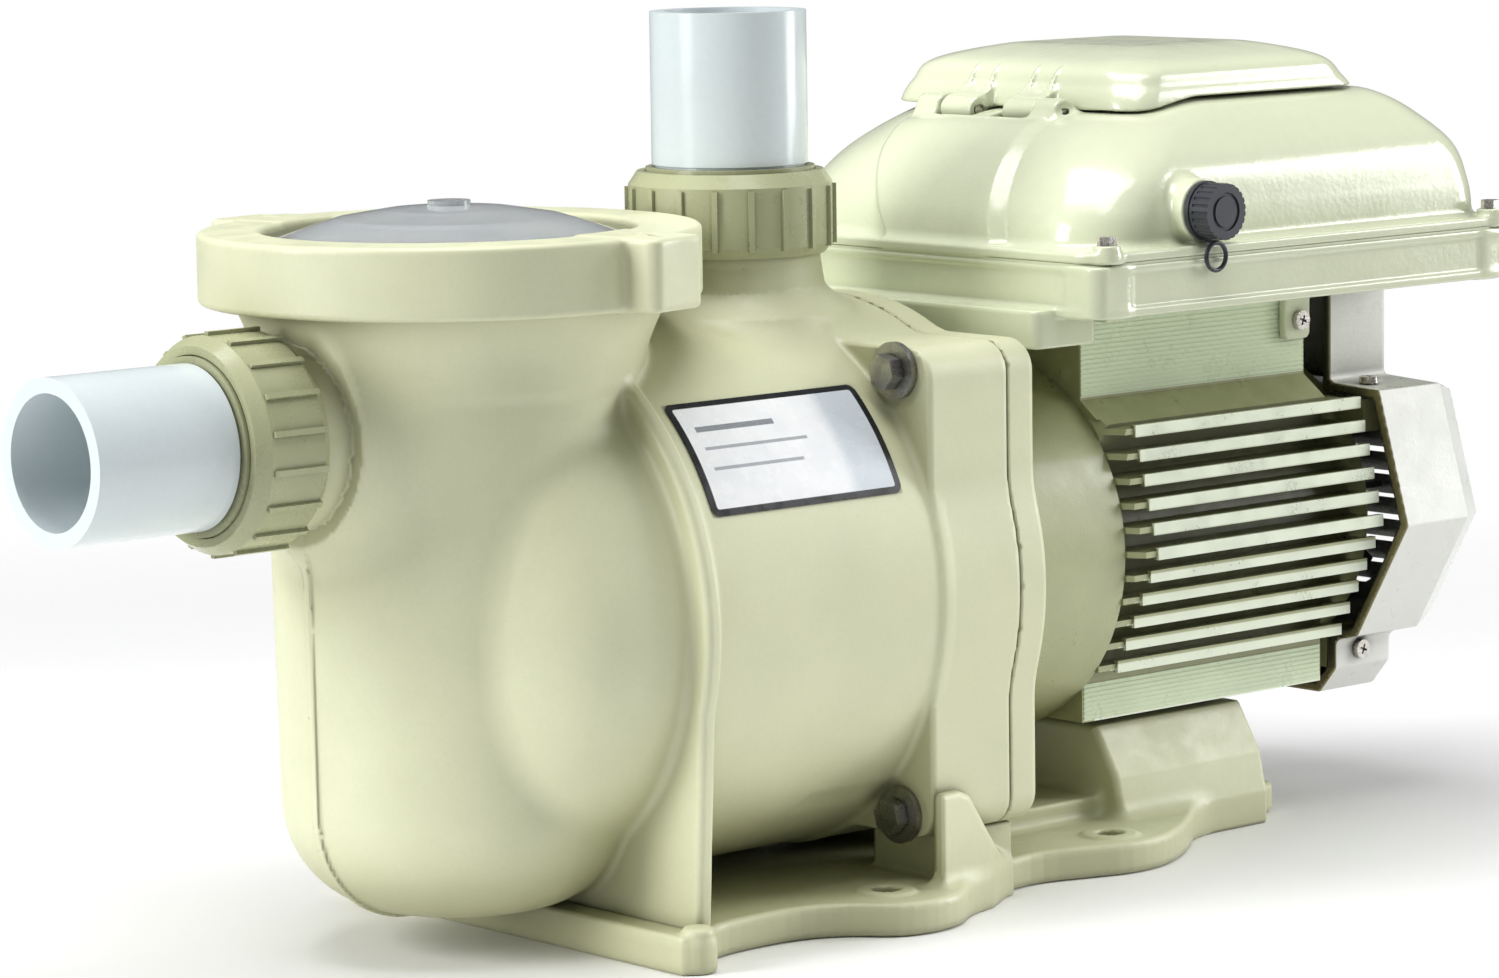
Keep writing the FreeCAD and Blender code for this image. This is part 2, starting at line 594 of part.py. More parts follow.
def stator_core():
    core = tube_x(166, 246, FRAME_BORE_R, STATOR_BORE_R)
    slots = []
    for i in range(12):
        slot = box(165, 247, -4.5, 4.5, 38, 54)
        slot.rotate(V(0, 0, 0), V(1, 0, 0), 30 * i)
        slot.translate(V(0, 0, SHAFT_Z))
        slots.append(slot)
    return core.cut(Part.makeCompound(slots))


def stator_windings():
    """Twelve coils in the slots, joined by an end ring at each end."""
    shape = tube_x(150, 165.8, 56, 38).fuse(tube_x(246.2, 262, 56, 38))
    for i in range(12):
        coil = box(158, 254, -4.2, 4.2, 38.4, 53.6)
        coil.rotate(V(0, 0, 0), V(1, 0, 0), 30 * i)
        coil.translate(V(0, 0, SHAFT_Z))
        shape = shape.fuse(coil)
    return shape


BEARINGS = ((82.0, 94.0), (272.0, 284.0))


def bearing_part(inner, outer, groove_r):
    made = []
    for x0, x1 in BEARINGS:
        ring = tube_x(x0, x1, outer, inner)
        race = Part.makeTorus(14.5, groove_r, V((x0 + x1) / 2, 0, SHAFT_Z), V(1, 0, 0))
        made.append(ring.cut(race))
    return Part.makeCompound(made)


def bearing_balls():
    made = []
    for x0, x1 in BEARINGS:
        for i in range(8):
            a = math.radians(45 * i)
            made.append(Part.makeSphere(3.0, V((x0 + x1) / 2, 14.5 * math.cos(a),
                                               SHAFT_Z + 14.5 * math.sin(a))))
    return Part.makeCompound(made)


def motor_bolts():
    made = []
    for y, z in bell_bolt_places():
        made.append(hex_screw_x(76.0, y, z, 2.9, 6.0, 4.5, 16.0, -1))
    return Part.makeCompound(made)


def motor_shaft():
    return turned([(2, 0), (2, 6.35), (40, 6.35), (40, 7.5), (80, 7.5), (80, 10), (296, 10),
                   (296, 7), (322, 7), (322, 0)], V(0, 0, SHAFT_Z), "x")


def rotor_core():
    core = tube_x(168, 244, STATOR_BORE_R - 0.6, 10.0)
    ends = joined(tube_x(162, 168, 30, 10.0), tube_x(244, 250, 30, 10.0))
    return core.fuse(ends).removeSplitter()


def cooling_fan():
    shape = tube_x(304, 321, 16, 7.0).fuse(tube_x(304, 306.5, 49, 15))
    for i in range(9):
        blade = box(305, 321, -1.2, 1.2, 14, 49)
        blade.rotate(V(0, 0, 0), V(1, 0, 0), 40 * i)
        blade.translate(V(0, 0, SHAFT_Z))
        shape = shape.fuse(blade)
    return shape.removeSplitter()


def octagon(scale):
    """(y, z) outline of the wide part of the fan cover, shrunk about the shaft."""
    near = [(-40, 178), (-77, 176), (-93, 121), (-65, 72), (-40, 66)]
    near = [(y * scale, SHAFT_Z + (z - SHAFT_Z) * scale) for y, z in near]
    return near + [(-y, z) for y, z in reversed(near)]


def cover_boxes(wall):
    """The narrow boxes above and below, shrunk by the wall thickness."""
    top = box(0, 1, -50 + wall, 50 - wall, 120, NECK_TOP_Z - wall)
    low = slab_x([(-53 + wall, 110), (-53 + wall, 57), (-44 + wall / 2, 46 + wall),
                  (44 - wall / 2, 46 + wall), (53 - wall, 57), (53 - wall, 110)], 0, 1)
    return top, low


def cover_body(wall, x0):
    """Solid inside the cover's outer (wall 0) or inner surface."""
    scale = 1 - wall / 60.0
    pieces = [slab_x(octagon(scale), x0, 324)]
    sections = []
    for x, s in ((324, scale), (338 - wall, scale * 0.92), (COVER_X1 - wall, scale * 0.8)):
        pts = [V(x, y, z) for y, z in octagon(s)]
        sections.append(Part.makePolygon(pts + [pts[0]]))
    for i in range(2):
        pieces.append(Part.makeLoft(sections[i:i + 2], True, True))
    for thin in cover_boxes(wall):
        face = max(thin.Faces, key=lambda f: f.CenterOfMass.x)
        block = face.extrude(V(COVER_BOX_X1 - wall - x0, 0, 0))
        block.translate(V(x0 - 1, 0, 0))
        pieces.append(block)
    return joined(*pieces)


def fan_cover():
    """Shell over the fan: open towards the motor, with a slotted grille at the back."""
    cover = cover_body(0, COVER_X0).cut(cover_body(4.0, COVER_X0 - 1))
    slots = []
    for i in range(9):
        slots.append(box(336, COVER_X1 + 1, -46, 46, 83 + 9.5 * i, 87.5 + 9.5 * i))
    grille = rod_x(336, COVER_X1 + 1, 44)
    cover = cover.cut(Part.makeCompound(slots).common(grille))
    for side in (-1, 1):
        cover = cover.cut(rod_z(168, 180, 2.3, FRAME_X1 + 13, side * 62))
        cover = cover.cut(rod_y(*sorted((side * 45, side * 55)), 2.3, FRAME_X1 + 17, 64))
    return cover


def cover_screws():
    made = []
    for side in (-1, 1):
        made.append(pan_screw(V(FRAME_X1 + 13, side * 62, 177.3), V(0, 0, 1), 2.1, 11))
        made.append(pan_screw(V(FRAME_X1 + 17, side * 53.0, 64), V(0, side, 0), 2.1, 11))
    return Part.makeCompound(made)


# ---- drive -----------------------------------------------------------------------------------
def rim_block(inset, r, z0, z1):
    """Rounded block that follows the outline of the drive rim, set in by a margin."""
    x0, x1, half = DRIVE_X0 + inset, DRIVE_X1 - inset, DRIVE_HALF - inset
    return loft([(x0, x1, half, r, z0), (x0, x1, half, r, z1)])


def drive_tray():
    tray = rim_block(0, 16, RIM_Z0, RIM_Z1).cut(rim_block(8, 12, RIM_Z0 + 4, RIM_Z1 + 1))
    skirt = box(74, 108, -92, 92, 211, RIM_Z0).cut(box(80, 109, -86, 86, 205, RIM_Z0))
    skirt = skirt.fuse(box(74, 84, -92, 92, RIM_Z0, RIM_Z0 + 3))
    tray = tray.fuse(skirt)
    for side in (-1, 1):
        span = sorted((side * (NECK_HALF + 0.2), side * (NECK_HALF + 4.2)))
        ear = box(BRACKET_X - 8, BRACKET_X + 7, *span, BRACKET_Z - 8, RIM_Z0)
        tray = tray.fuse(ear.cut(rod_y(*span, 2.3, BRACKET_X, BRACKET_Z)))
        for i in range(4):
            x = 112 + 13 * i
            tray = tray.fuse(box(x, x + 6, *sorted((side * 66, side * 92)), RIM_Z0 - 4 + i * 0.6, RIM_Z0))
    tray = tray.cut(rod_z(RIM_Z0 - 1, RIM_Z0 + 6, 16, 200, 0))
    for x, y in rim_screw_places():
        tray = tray.cut(rod_z(RIM_Z0 + 6, RIM_Z1 + 1, 2.2, x, y))
    return tray.removeSplitter()


def rim_screw_places():
    return [(x, y) for x in (DRIVE_X0 + 10, DRIVE_X1 - 10)
            for y in (-DRIVE_HALF + 4.5, DRIVE_HALF - 4.5)]


DOME_SECTIONS = [(92, 322, 104, 28, RIM_Z1 + 1), (98, 322, 101, 32, 262), (115, 320, 92, 36, 280),
                 (131, 311, 81, 35, 291), (143, 296, 73, 26, 296.5)]


def drive_cover():
    base = rim_block(0, 16, RIM_Z1 + 1, RIM_Z1 + 5)
    dome = loft(DOME_SECTIONS)
    inner = loft([(x0 + 4, x1 - 4, h - 4, r - 3, z - (3.5 if z > 250 else 1))
                  for x0, x1, h, r, z in DOME_SECTIONS])
    shape = base.fuse(dome)
    for x, y in rim_screw_places():
        shape = shape.fuse(rod_z(RIM_Z1 + 1, RIM_Z1 + 8, 5.0, x, y))
    for side in (-1, 1):
        ear = rod_y(*sorted((side * 27, side * 40)), 5.5, HINGE_X, HINGE_Z)
        foot = box(HINGE_X - 5.5, HINGE_X + 4, *sorted((side * 27, side * 40)), 286, HINGE_Z)
        shape = shape.fuse(ear).fuse(foot)
    shape = shape.fuse(rod_y(-110, -95, 12.5, PORT_X, PORT_Z))
    shape = shape.cut(inner)
    shape = shape.cut(box(KEYPAD_X0 - 0.3, KEYPAD_X1 + 0.3, -52.3, 52.3, 285, 300))
    for side in (-1, 1):
        shape = shape.cut(rod_y(*sorted((side * 26, side * 41)), 2.0, HINGE_X, HINGE_Z))
        shape = shape.cut(rod_y(*sorted((side * 5, side * 26.7)), 7.0, HINGE_X, HINGE_Z))
    shape = shape.cut(rod_y(-111, -90, 8.0, PORT_X, PORT_Z))
    for x, y in rim_screw_places():
        shape = shape.cut(rod_z(RIM_Z1, RIM_Z1 + 9, 2.4, x, y))
    return shape


def control_lid():
    """Flip lid over the keypad, with two hinge knuckles on its front edge."""
    outer = loft([(LID_X0, LID_X1, LID_HALF, 16, 297.2), (LID_X0 + 3, LID_X1 - 4, LID_HALF - 3, 16, 306),
                  (LID_X0 + 12, LID_X1 - 14, LID_HALF - 12, 16, 316),
                  (LID_X0 + 30, LID_X1 - 30, LID_HALF - 28, 16, 321)])
    inner = loft([(LID_X0 + 3, LID_X1 - 3, LID_HALF - 3, 13, 297.1),
                  (LID_X0 + 6, LID_X1 - 7, LID_HALF - 6, 13, 305),
                  (LID_X0 + 15, LID_X1 - 17, LID_HALF - 15, 13, 313),
                  (LID_X0 + 33, LID_X1 - 33, LID_HALF - 31, 13, 318)])
    lid = outer.cut(inner)
    for side in (-1, 1):
        span = sorted((side * 9, side * 26.7))
        knuckle = rod_y(*span, 5.0, HINGE_X, HINGE_Z)
        arm = slab_y([(HINGE_X - 1, HINGE_Z + 1), (HINGE_X - 1, HINGE_Z + 5), (LID_X0 + 4, 304),
                      (LID_X0 + 4, 299), (HINGE_X + 4, HINGE_Z + 1)], *span)
        lid = lid.fuse(knuckle).fuse(arm)
    lid = lid.cut(rod_y(-27, 27, 2.0 + FIT, HINGE_X, HINGE_Z))
    return lid


def hinge_pins():
    return Part.makeCompound([rod_y(*sorted((s * 9, s * 40)), 2.0, HINGE_X, HINGE_Z) for s in (-1, 1)])


BUTTONS = {
    "button_start_stop": (186.0, -34.0, 7.0),
    "button_speed_1": (186.0, -12.0, 5.0),
    "button_speed_2": (186.0, 6.0, 5.0),
    "button_speed_3": (186.0, 24.0, 5.0),
    "button_up": (216.0, -34.0, 5.0),
    "button_down": (234.0, -34.0, 5.0),
}


def keypad_panel():
    panel = box(KEYPAD_X0, KEYPAD_X1, -52, 52, PANEL_TOP_Z - 3, PANEL_TOP_Z)
    for x, y, r in BUTTONS.values():
        panel = panel.cut(rod_z(280, 300, r + RUN, x, y))
    return panel.cut(box(204, 252, -18, 34, PANEL_TOP_Z - 1.2, PANEL_TOP_Z + 1))


def button(x, y, r):
    """Round key with a retaining collar under the panel."""
    return joined(rod_z(PANEL_TOP_Z - 6, PANEL_TOP_Z + 1.2, r, x, y),
                  rod_z(PANEL_TOP_Z - 6, PANEL_TOP_Z - 4.2, r + 1.5, x, y))


def control_board():
    return box(166, 272, -50, 50, 281.5, 283.1).cut(rod_z(280, 284, 3, 260, 40))


def port_socket():
    return tube_y(-113, -96, 7.9, 5.0)


def tube_y(y0, y1, r, bore):
    return rod_y(y0, y1, r, PORT_X, PORT_Z).cut(rod_y(y0 - 1, y1 + 1, bore, PORT_X, PORT_Z))


def port_cap():
    cap = rod_y(-122, -110.3, 11.0, PORT_X, PORT_Z).cut(rod_y(-119, -110, 8.0 + FIT, PORT_X, PORT_Z))
    groove = rod_y(-112.6, -110.6, 12, PORT_X, PORT_Z).cut(rod_y(-113, -110, 9.9, PORT_X, PORT_Z))
    grip = []
    for i in range(24):
        notch = rod_y(-123, -114, 0.6, PORT_X + 11.1, PORT_Z)
        notch.rotate(V(PORT_X, 0, PORT_Z), V(0, 1, 0), 15 * i)
        grip.append(notch)
    face = rod_y(-123, -121.4, 7.5, PORT_X, PORT_Z).cut(rod_y(-124, -121, 6.0, PORT_X, PORT_Z))
    return cap.cut(groove).cut(Part.makeCompound(grip)).cut(face)


def cap_tether():
    """Strap ring that the cap turns in, with a loop that hangs to the cover."""
    ring = rod_y(-112.4, -110.8, 11.6, PORT_X, PORT_Z).cut(rod_y(-113, -110, 10.1, PORT_X, PORT_Z))
    link = box(PORT_X - 1.2, PORT_X + 1.2, -116.9, -111.5, PORT_Z - 12.5, PORT_Z - 11.3)
    loop = Part.makeTorus(5.4, 0.9, V(PORT_X, -116.6, PORT_Z - 17.6), V(0, 1, 0))
    return ring.fuse(link).fuse(loop)


def gasket():
    outer = rim_block(1, 15, RIM_Z1, RIM_Z1 + 1)
    inner = rim_block(8, 12, RIM_Z1 - 1, RIM_Z1 + 2)
    shape = outer.cut(inner)
    for x, y in rim_screw_places():
        shape = shape.cut(rod_z(RIM_Z1 - 1, RIM_Z1 + 2, 2.4, x, y))
    return shape


def rim_screws():
    made = []
    for x, y in rim_screw_places():
        hexagon = [(x + 3.9 * math.cos(math.radians(60 * i)), y + 3.9 * math.sin(math.radians(60 * i)))
                   for i in range(6)]
        head = plate(hexagon, RIM_Z1 + 8, RIM_Z1 + 11.5)
        made.append(head.fuse(rod_z(RIM_Z0 + 7, RIM_Z1 + 8, 2.2, x, y)))
    return Part.makeCompound(made)


def name_label():
    """Thin curved plate on the shoulder of the barrel."""
    shell = tube_x(LABEL_X0, LABEL_X1, BARREL_R + 0.5, BARREL_R)
    low, high = math.radians(LABEL_LOW), math.radians(LABEL_HIGH)
    wedge = slab_x([(0, 0), (-160 * math.cos(low), 160 * math.sin(low)),
                    (-160 * math.cos(high), 160 * math.sin(high))], LABEL_X0, LABEL_X1)
    wedge.translate(V(0, 0, SHAFT_Z))
    return shell.common(wedge)


def main():
    save("pump_housing", pump_housing())
    save("base_foot", base_foot())
    save("seal_plate", seal_plate())
    save("housing_seal", tube_x(FLANGE_X1 - 4.0, FLANGE_X1, 96.3, 92.3))
    save("housing_bolts", housing_bolts())
    save("diffuser", diffuser())
    for name, parts in (("suction", suction_union()), ("discharge", discharge_union())):
        for piece, shape in zip(("nut", "tailpiece", "union_seal", "pipe"), parts):
            save(name + "_" + piece, shape)
    save("name_label", name_label())
    save("clear_lid", clear_lid())
    save("lid_seal", lid_seal())
    save("lid_ring", lid_ring())
    save("strainer_basket", strainer_basket())
    for name, place in zip(("drain_plug_pot", "drain_plug_volute"), drains()):
        save(name, drain_plug(*place))
    save("motor_pad", motor_pad())
    save("motor_front_bell", front_bell())
    save("motor_frame", motor_frame())
    save("motor_rear_bell", rear_bell())
    save("stator_core", stator_core())
    save("stator_windings", stator_windings())
    save("bearing_outer_races", bearing_part(16.6, 20.0, 3.05))
    save("bearing_inner_races", bearing_part(10.0, 12.4, 3.0))
    save("bearing_balls", bearing_balls())
    save("motor_bolts", motor_bolts())
    save("motor_shaft", motor_shaft())
    save("rotor_core", rotor_core())
    save("cooling_fan", cooling_fan())
    save("fan_cover", fan_cover())
    save("fan_cover_screws", cover_screws())
    save("impeller", impeller())
    save("impeller_screw", turned([(-11, 0), (-11, 6), (-6.5, 6), (-6.5, 2.9), (1.9, 2.9), (1.9, 0)],
                                  V(0, 0, SHAFT_Z), "x"))
    save("seal_seat", tube_x(FLANGE_X1 - 13.5, FLANGE_X1 - 6.0, 20.9, 9.0))
    save("seal_ring", tube_x(30.1, FLANGE_X1 - 13.6, 16, 6.35))
    save("drive_tray", drive_tray())
    save("drive_gasket", gasket())
    save("drive_cover", drive_cover())
    save("rim_screws", rim_screws())
    save("bracket_screws", Part.makeCompound(
        [pan_screw(V(BRACKET_X, s * (NECK_HALF + 4.2), BRACKET_Z), V(0, s, 0), 2.1, 11)
         for s in (-1, 1)]))
    save("control_board", control_board())
    save("keypad_panel", keypad_panel())
    save("display_window", box(204.2, 251.8, -17.8, 33.8, PANEL_TOP_Z - 1.2, PANEL_TOP_Z + 0.4))
    for name, place in BUTTONS.items():
        save(name, button(*place))
    save("hinge_pins", hinge_pins())
    save("control_lid", control_lid())
    save("port_socket", port_socket())
    save("port_cap", port_cap())
    save("cap_tether", cap_tether())


main()
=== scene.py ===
import math

import bpy
import numpy as np
from mathutils import Matrix, Vector


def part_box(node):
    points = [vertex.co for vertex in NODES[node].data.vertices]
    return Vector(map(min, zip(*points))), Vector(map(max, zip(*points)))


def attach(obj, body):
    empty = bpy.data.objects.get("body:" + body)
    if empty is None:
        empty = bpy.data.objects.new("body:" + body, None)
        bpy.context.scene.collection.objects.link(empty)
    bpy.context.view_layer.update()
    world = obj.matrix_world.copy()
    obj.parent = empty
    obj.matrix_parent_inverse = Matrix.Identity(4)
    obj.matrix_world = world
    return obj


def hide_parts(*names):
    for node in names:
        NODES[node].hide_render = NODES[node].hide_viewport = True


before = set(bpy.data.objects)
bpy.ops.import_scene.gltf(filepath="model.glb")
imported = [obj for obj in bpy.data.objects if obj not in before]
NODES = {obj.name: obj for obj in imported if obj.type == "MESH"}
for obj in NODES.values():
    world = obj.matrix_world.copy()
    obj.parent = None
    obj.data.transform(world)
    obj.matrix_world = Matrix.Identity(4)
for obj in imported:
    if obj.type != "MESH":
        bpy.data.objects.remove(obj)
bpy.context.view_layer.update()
MM = 0.001


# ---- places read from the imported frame, in millimetres ------------------------------------------
def low(node):
    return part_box(node)[0] / MM


def high(node):
    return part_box(node)[1] / MM


def middle(node):
    return (low(node) + high(node)) / 2


SHAFT_Z = middle("motor_shaft").z
SUCTION_Z = middle("suction_pipe").z
POT_X = middle("clear_lid").x
COLLAR_Z = high("pump_housing").z - 13  # rim of the pot, below the end of the discharge thread
POT_FLOOR = 14.5
POT_R, POT_TAPER, POT_CORNER = 66.5, 0.0157, 41.0
NOSE_BASE, NOSE_LENGTH, NOSE_R = -104, 71.5, 99.5
BARREL_R, FLANGE_R, FLANGE_X = 105.5, 106.6, 51
BORE_R, THREAD_R = 25.5, 34.5
LABEL_R = 106.0
HINGE_X, HINGE_Z = middle("hinge_pins").x, middle("hinge_pins").z
PORT_X, PORT_Z = middle("port_cap").x, middle("port_cap").z


def mirrored(side, near, far):
    """The two distances from the middle plane on one side, the lower one first."""
    return sorted((side * near, side * far))


# ---- distance fields ----------------------------------------------------------------------------
def split(p, axis):
    """The coordinate along an axis, then the other two in X, Y, Z order."""
    i = "xyz".index(axis)
    return p[i], *[p[j] for j in range(3) if j != i]


def corner_mix(a, b, edge):
    """Distance where two half spaces meet, with the outer edge rounded."""
    a, b = a + edge, b + edge
    return np.hypot(np.maximum(a, 0), np.maximum(b, 0)) + np.minimum(np.maximum(a, b), 0) - edge


def span(a, lo, hi):
    return np.abs(a - (lo + hi) / 2) - (hi - lo) / 2


def rod(p, axis, centre, r, lo, hi, edge=0.0):
    a, u, v = split(p, axis)
    return corner_mix(np.hypot(u - centre[0], v - centre[1]) - r, span(a, lo, hi), edge)


def block(p, x, y, z, edge=0.0):
    q = [span(p[i], *s) + edge for i, s in enumerate((x, y, z))]
    out = np.sqrt(sum(np.maximum(c, 0) ** 2 for c in q))
    return out + np.minimum(np.maximum(np.maximum(q[0], q[1]), q[2]), 0) - edge


def outline(u, v, pts):
    """Signed distance to a closed polygon in a plane."""
    best, inside = None, False
    for i, (bx, by) in enumerate(pts):
        ax, ay = pts[i - 1]
        ex, ey = bx - ax, by - ay
        t = np.clip(((u - ax) * ex + (v - ay) * ey) / (ex * ex + ey * ey), 0, 1)
        d = (u - ax - ex * t) ** 2 + (v - ay - ey * t) ** 2
        best = d if best is None else np.minimum(best, d)
        if ey:
            inside = inside ^ (((ay <= v) != (by <= v)) & (u < ax + (v - ay) * ex / ey))
    return np.where(inside, -1, 1) * np.sqrt(best)


def slab(p, axis, pts, lo, hi, edge=0.0):
    a, u, v = split(p, axis)
    return corner_mix(outline(u, v, pts), span(a, lo, hi), edge)


def spun(p, axis, centre, pts):
    """(along, radius) outline turned about an axis."""
    a, u, v = split(p, axis)
    return outline(a, np.hypot(u - centre[0], v - centre[1]), pts)


def blend(a, b, k):
    """Union with a fillet of about k."""
    h = np.maximum(k - np.abs(a - b), 0) / k
    return np.minimum(a, b) - h * h * k / 4


def carve(a, b, k=0.0):
    """a without b, with the new edge rounded by about k."""
    return -blend(-a, b, k) if k else np.maximum(a, -b)


def meet(a, b, k):
    return -blend(-a, -b, k)


# ---- meshes from distance fields ----------------------------------------------------------------
def gradient(field, pts, h):
    g = np.empty_like(pts)
    for i in range(3):
        step = np.zeros(3)
        step[i] = h
        g[:, i] = field(*(pts + step).T) - field(*(pts - step).T)
    return g / (2 * h)


def settle(field, pts, step):
    """Moves the vertices onto the zero surface and returns them."""
    for _ in range(4):
        g = gradient(field, pts, 0.15)
        move = field(*pts.T)[:, None] * g / np.maximum((g * g).sum(1), 0.2)[:, None]
        size = np.linalg.norm(move, axis=1)
        pts = pts - move * np.minimum(1, 0.5 * step / np.maximum(size, 1e-9))[:, None]
    return pts


def surface(field, lo, hi, step):
    """Vertices and quads where the field changes sign, one vertex in each crossed cell."""
    lo = np.array(lo, float)
    n = np.ceil((np.array(hi) - lo) / step).astype(int) + 1
    d = np.broadcast_to(field(*np.ix_(*[lo[i] + step * np.arange(n[i]) for i in range(3)])), n)
    inside = d < 0
    corners = [np.array(c) for c in np.ndindex(2, 2, 2)]
    full = sum(inside[tuple(slice(c[i], n[i] - 1 + c[i]) for i in range(3))].astype(np.int8)
               for c in corners)
    crossed = (full > 0) & (full < 8)
    cells = np.argwhere(crossed)
    ids = np.full(crossed.shape, -1)
    ids[crossed] = np.arange(len(cells))
    total, count = np.zeros((len(cells), 3)), np.zeros(len(cells))
    for a in corners:
        for axis in range(3):
            if a[axis]:
                continue
            b = a + np.eye(3, dtype=int)[axis]
            da, db = d[tuple((cells + a).T)], d[tuple((cells + b).T)]
            hit = (da < 0) != (db < 0)
            t = np.where(hit, da / np.where(hit, da - db, 1), 0)
            total += (cells + a + t[:, None] * (b - a)) * hit[:, None]
            count += hit
    verts = settle(field, lo + step * total / count[:, None], step)
    quads = []
    for axis in range(3):
        e = np.eye(3, dtype=int)
        u, v = e[(axis + 1) % 3], e[(axis + 2) % 3]
        first = inside[tuple(slice(0, n[i] - 1) if i == axis else slice(None) for i in range(3))]
        second = inside[tuple(slice(1, n[i]) if i == axis else slice(None) for i in range(3))]
        g = np.argwhere(first != second)
        g = g[((g >= u + v).all(1)) & ((g <= n - 2).all(1))]
        ring = [ids[tuple((g - o).T)] for o in (u + v, v, 0 * u, u)]
        face = np.stack(ring, 1)
        flip = second[tuple(g.T)]
        face[flip] = face[flip][:, ::-1]
        quads.append(face)
    return verts, np.concatenate(quads)


def mesh_from(name, verts, faces):
    mesh = bpy.data.meshes.new(name)
    size = faces.shape[1]
    mesh.vertices.add(len(verts))
    mesh.vertices.foreach_set("co", (verts * MM).astype(np.float32).ravel())
    mesh.loops.add(faces.size)
    mesh.loops.foreach_set("vertex_index", faces.astype(np.int32).ravel())
    mesh.polygons.add(len(faces))
    mesh.polygons.foreach_set("loop_start", np.arange(0, faces.size, size, dtype=np.int32))
    mesh.update(calc_edges=True)
    mesh.validate()
    return mesh


def show(name, mesh):
    obj = bpy.data.objects.new(name, mesh)
    bpy.context.scene.collection.objects.link(obj)
    return obj


def solid(name, field, lo, hi, step, keep=0.45):
    """A smooth object for the inside of a distance field, thinned to a part of its faces."""

    def call(x, y, z):
        return field((x, y, z))

    obj = show(name, mesh_from(name, *surface(call, lo, hi, step)))
    thin = obj.modifiers.new("thin", "DECIMATE")
    thin.ratio = keep
    depsgraph = bpy.context.evaluated_depsgraph_get()
    mesh = bpy.data.meshes.new_from_object(obj.evaluated_get(depsgraph))
    obj.modifiers.clear()
    obj.data = mesh
    mesh.name = name
    co = np.zeros(len(mesh.vertices) * 3)
    mesh.vertices.foreach_get("co", co)
    pts = settle(call, co.reshape(-1, 3) / MM, 0.5 * step)
    mesh.vertices.foreach_set("co", (pts * MM).ravel())
    g = gradient(call, pts, 0.25)
    g /= np.maximum(np.linalg.norm(g, axis=1), 1e-6)[:, None]
    mesh.polygons.foreach_set("use_smooth", [True] * len(mesh.polygons))
    mesh.normals_split_custom_set_from_vertices(g)
    mesh.update()
    return obj


# ---- wet end ------------------------------------------------------------------------------------
BOLTS = [(y, SHAFT_Z + dz) for y in (-82, 82) for dz in (-85, 85)]
DRAINS = [(middle(n).x, middle(n).z, low(n).y + 12)
          for n in ("drain_plug_pot", "drain_plug_volute")]


def barrel_outline(p, radius, edge, x0, x1):
    """Square plate with round corners joined to a round one, across the shaft."""
    square = corner_mix(span(p[1], -100, 100), span(p[2], 30, 217), 12)
    both = blend(square, np.hypot(p[1], p[2] - SHAFT_Z) - radius, 3)
    return corner_mix(both, span(p[0], x0, x1), edge)


def housing_outside(p):
    x, y, z = p
    rad_pot = np.hypot(x - POT_X, y)
    rad_shaft = np.hypot(y, z - SHAFT_Z)
    wall = rad_pot - POT_R - POT_TAPER * (z - POT_FLOOR)
    pot = corner_mix(wall, POT_FLOOR - z, POT_CORNER)
    seam = np.maximum(np.maximum(pot - 1.5, np.abs(y) - 1.8), x - POT_X)
    seam = np.maximum(seam, z - 226)
    pot = blend(pot, seam, 0.8)
    pot = np.maximum(pot, z - 238)
    collar = spun(p, "z", (POT_X, 0), [(214, 40), (214, 68), (224, 72), (233, 76.5), (241, 80),
                                       (COLLAR_Z, 80), (COLLAR_Z, 40)])
    pot = blend(pot, collar, 7)
    ahead, around = np.abs(x - NOSE_BASE) / NOSE_LENGTH, rad_shaft / NOSE_R
    level = (ahead ** 3 + around ** 3) ** (1 / 3) + 1e-6
    slope = level ** -2 * np.hypot(ahead ** 2 / NOSE_LENGTH, around ** 2 / NOSE_R)
    nose = np.maximum((level - 1) / np.maximum(slope, 2e-3), x - NOSE_BASE)
    legs = outline(y, z, [(-107, SHAFT_Z), (-101, 12), (101, 12), (107, SHAFT_Z)])
    arch = np.minimum(rad_shaft - 109.5, legs)
    web = corner_mix(arch, span(x, -110, -102.5), 2.6)
    front = blend(nose, web, 4)
    front = blend(front, pot, 4.5)
    barrel = corner_mix(rad_shaft - BARREL_R, span(x, NOSE_BASE, 14), 0.5)
    flange = barrel_outline(p, FLANGE_R, 1.6, 10, FLANGE_X)
    body = blend(blend(front, barrel, 3.0), flange, 3.0)
    boss = spun(p, "x", (0, SUCTION_Z), [(-211.5, 0), (-211.5, 40), (-210, 41), (-197, 43.5),
                                         (-165, 52), (-165, 0)])
    body = blend(body, boss, 14)
    neck = spun(p, "z", (0, 0), [(200, 0), (200, 47), (226, 43), (236, 36), (245.5, 34.6),
                                 (245.5, 0)])
    body = blend(body, neck, 12)
    for dx, dz, face in DRAINS:
        body = blend(body, rod(p, "y", (dx, dz), 13, 40, face, 1.0), 4)
    return body


def off_lug(p, start):
    """Angle from the nearest of the four lugs round the pot, the first of them at start."""
    angle = np.arctan2(p[1], p[0] - POT_X) - start
    return np.abs((angle + math.pi / 4) % (math.pi / 2) - math.pi / 4)


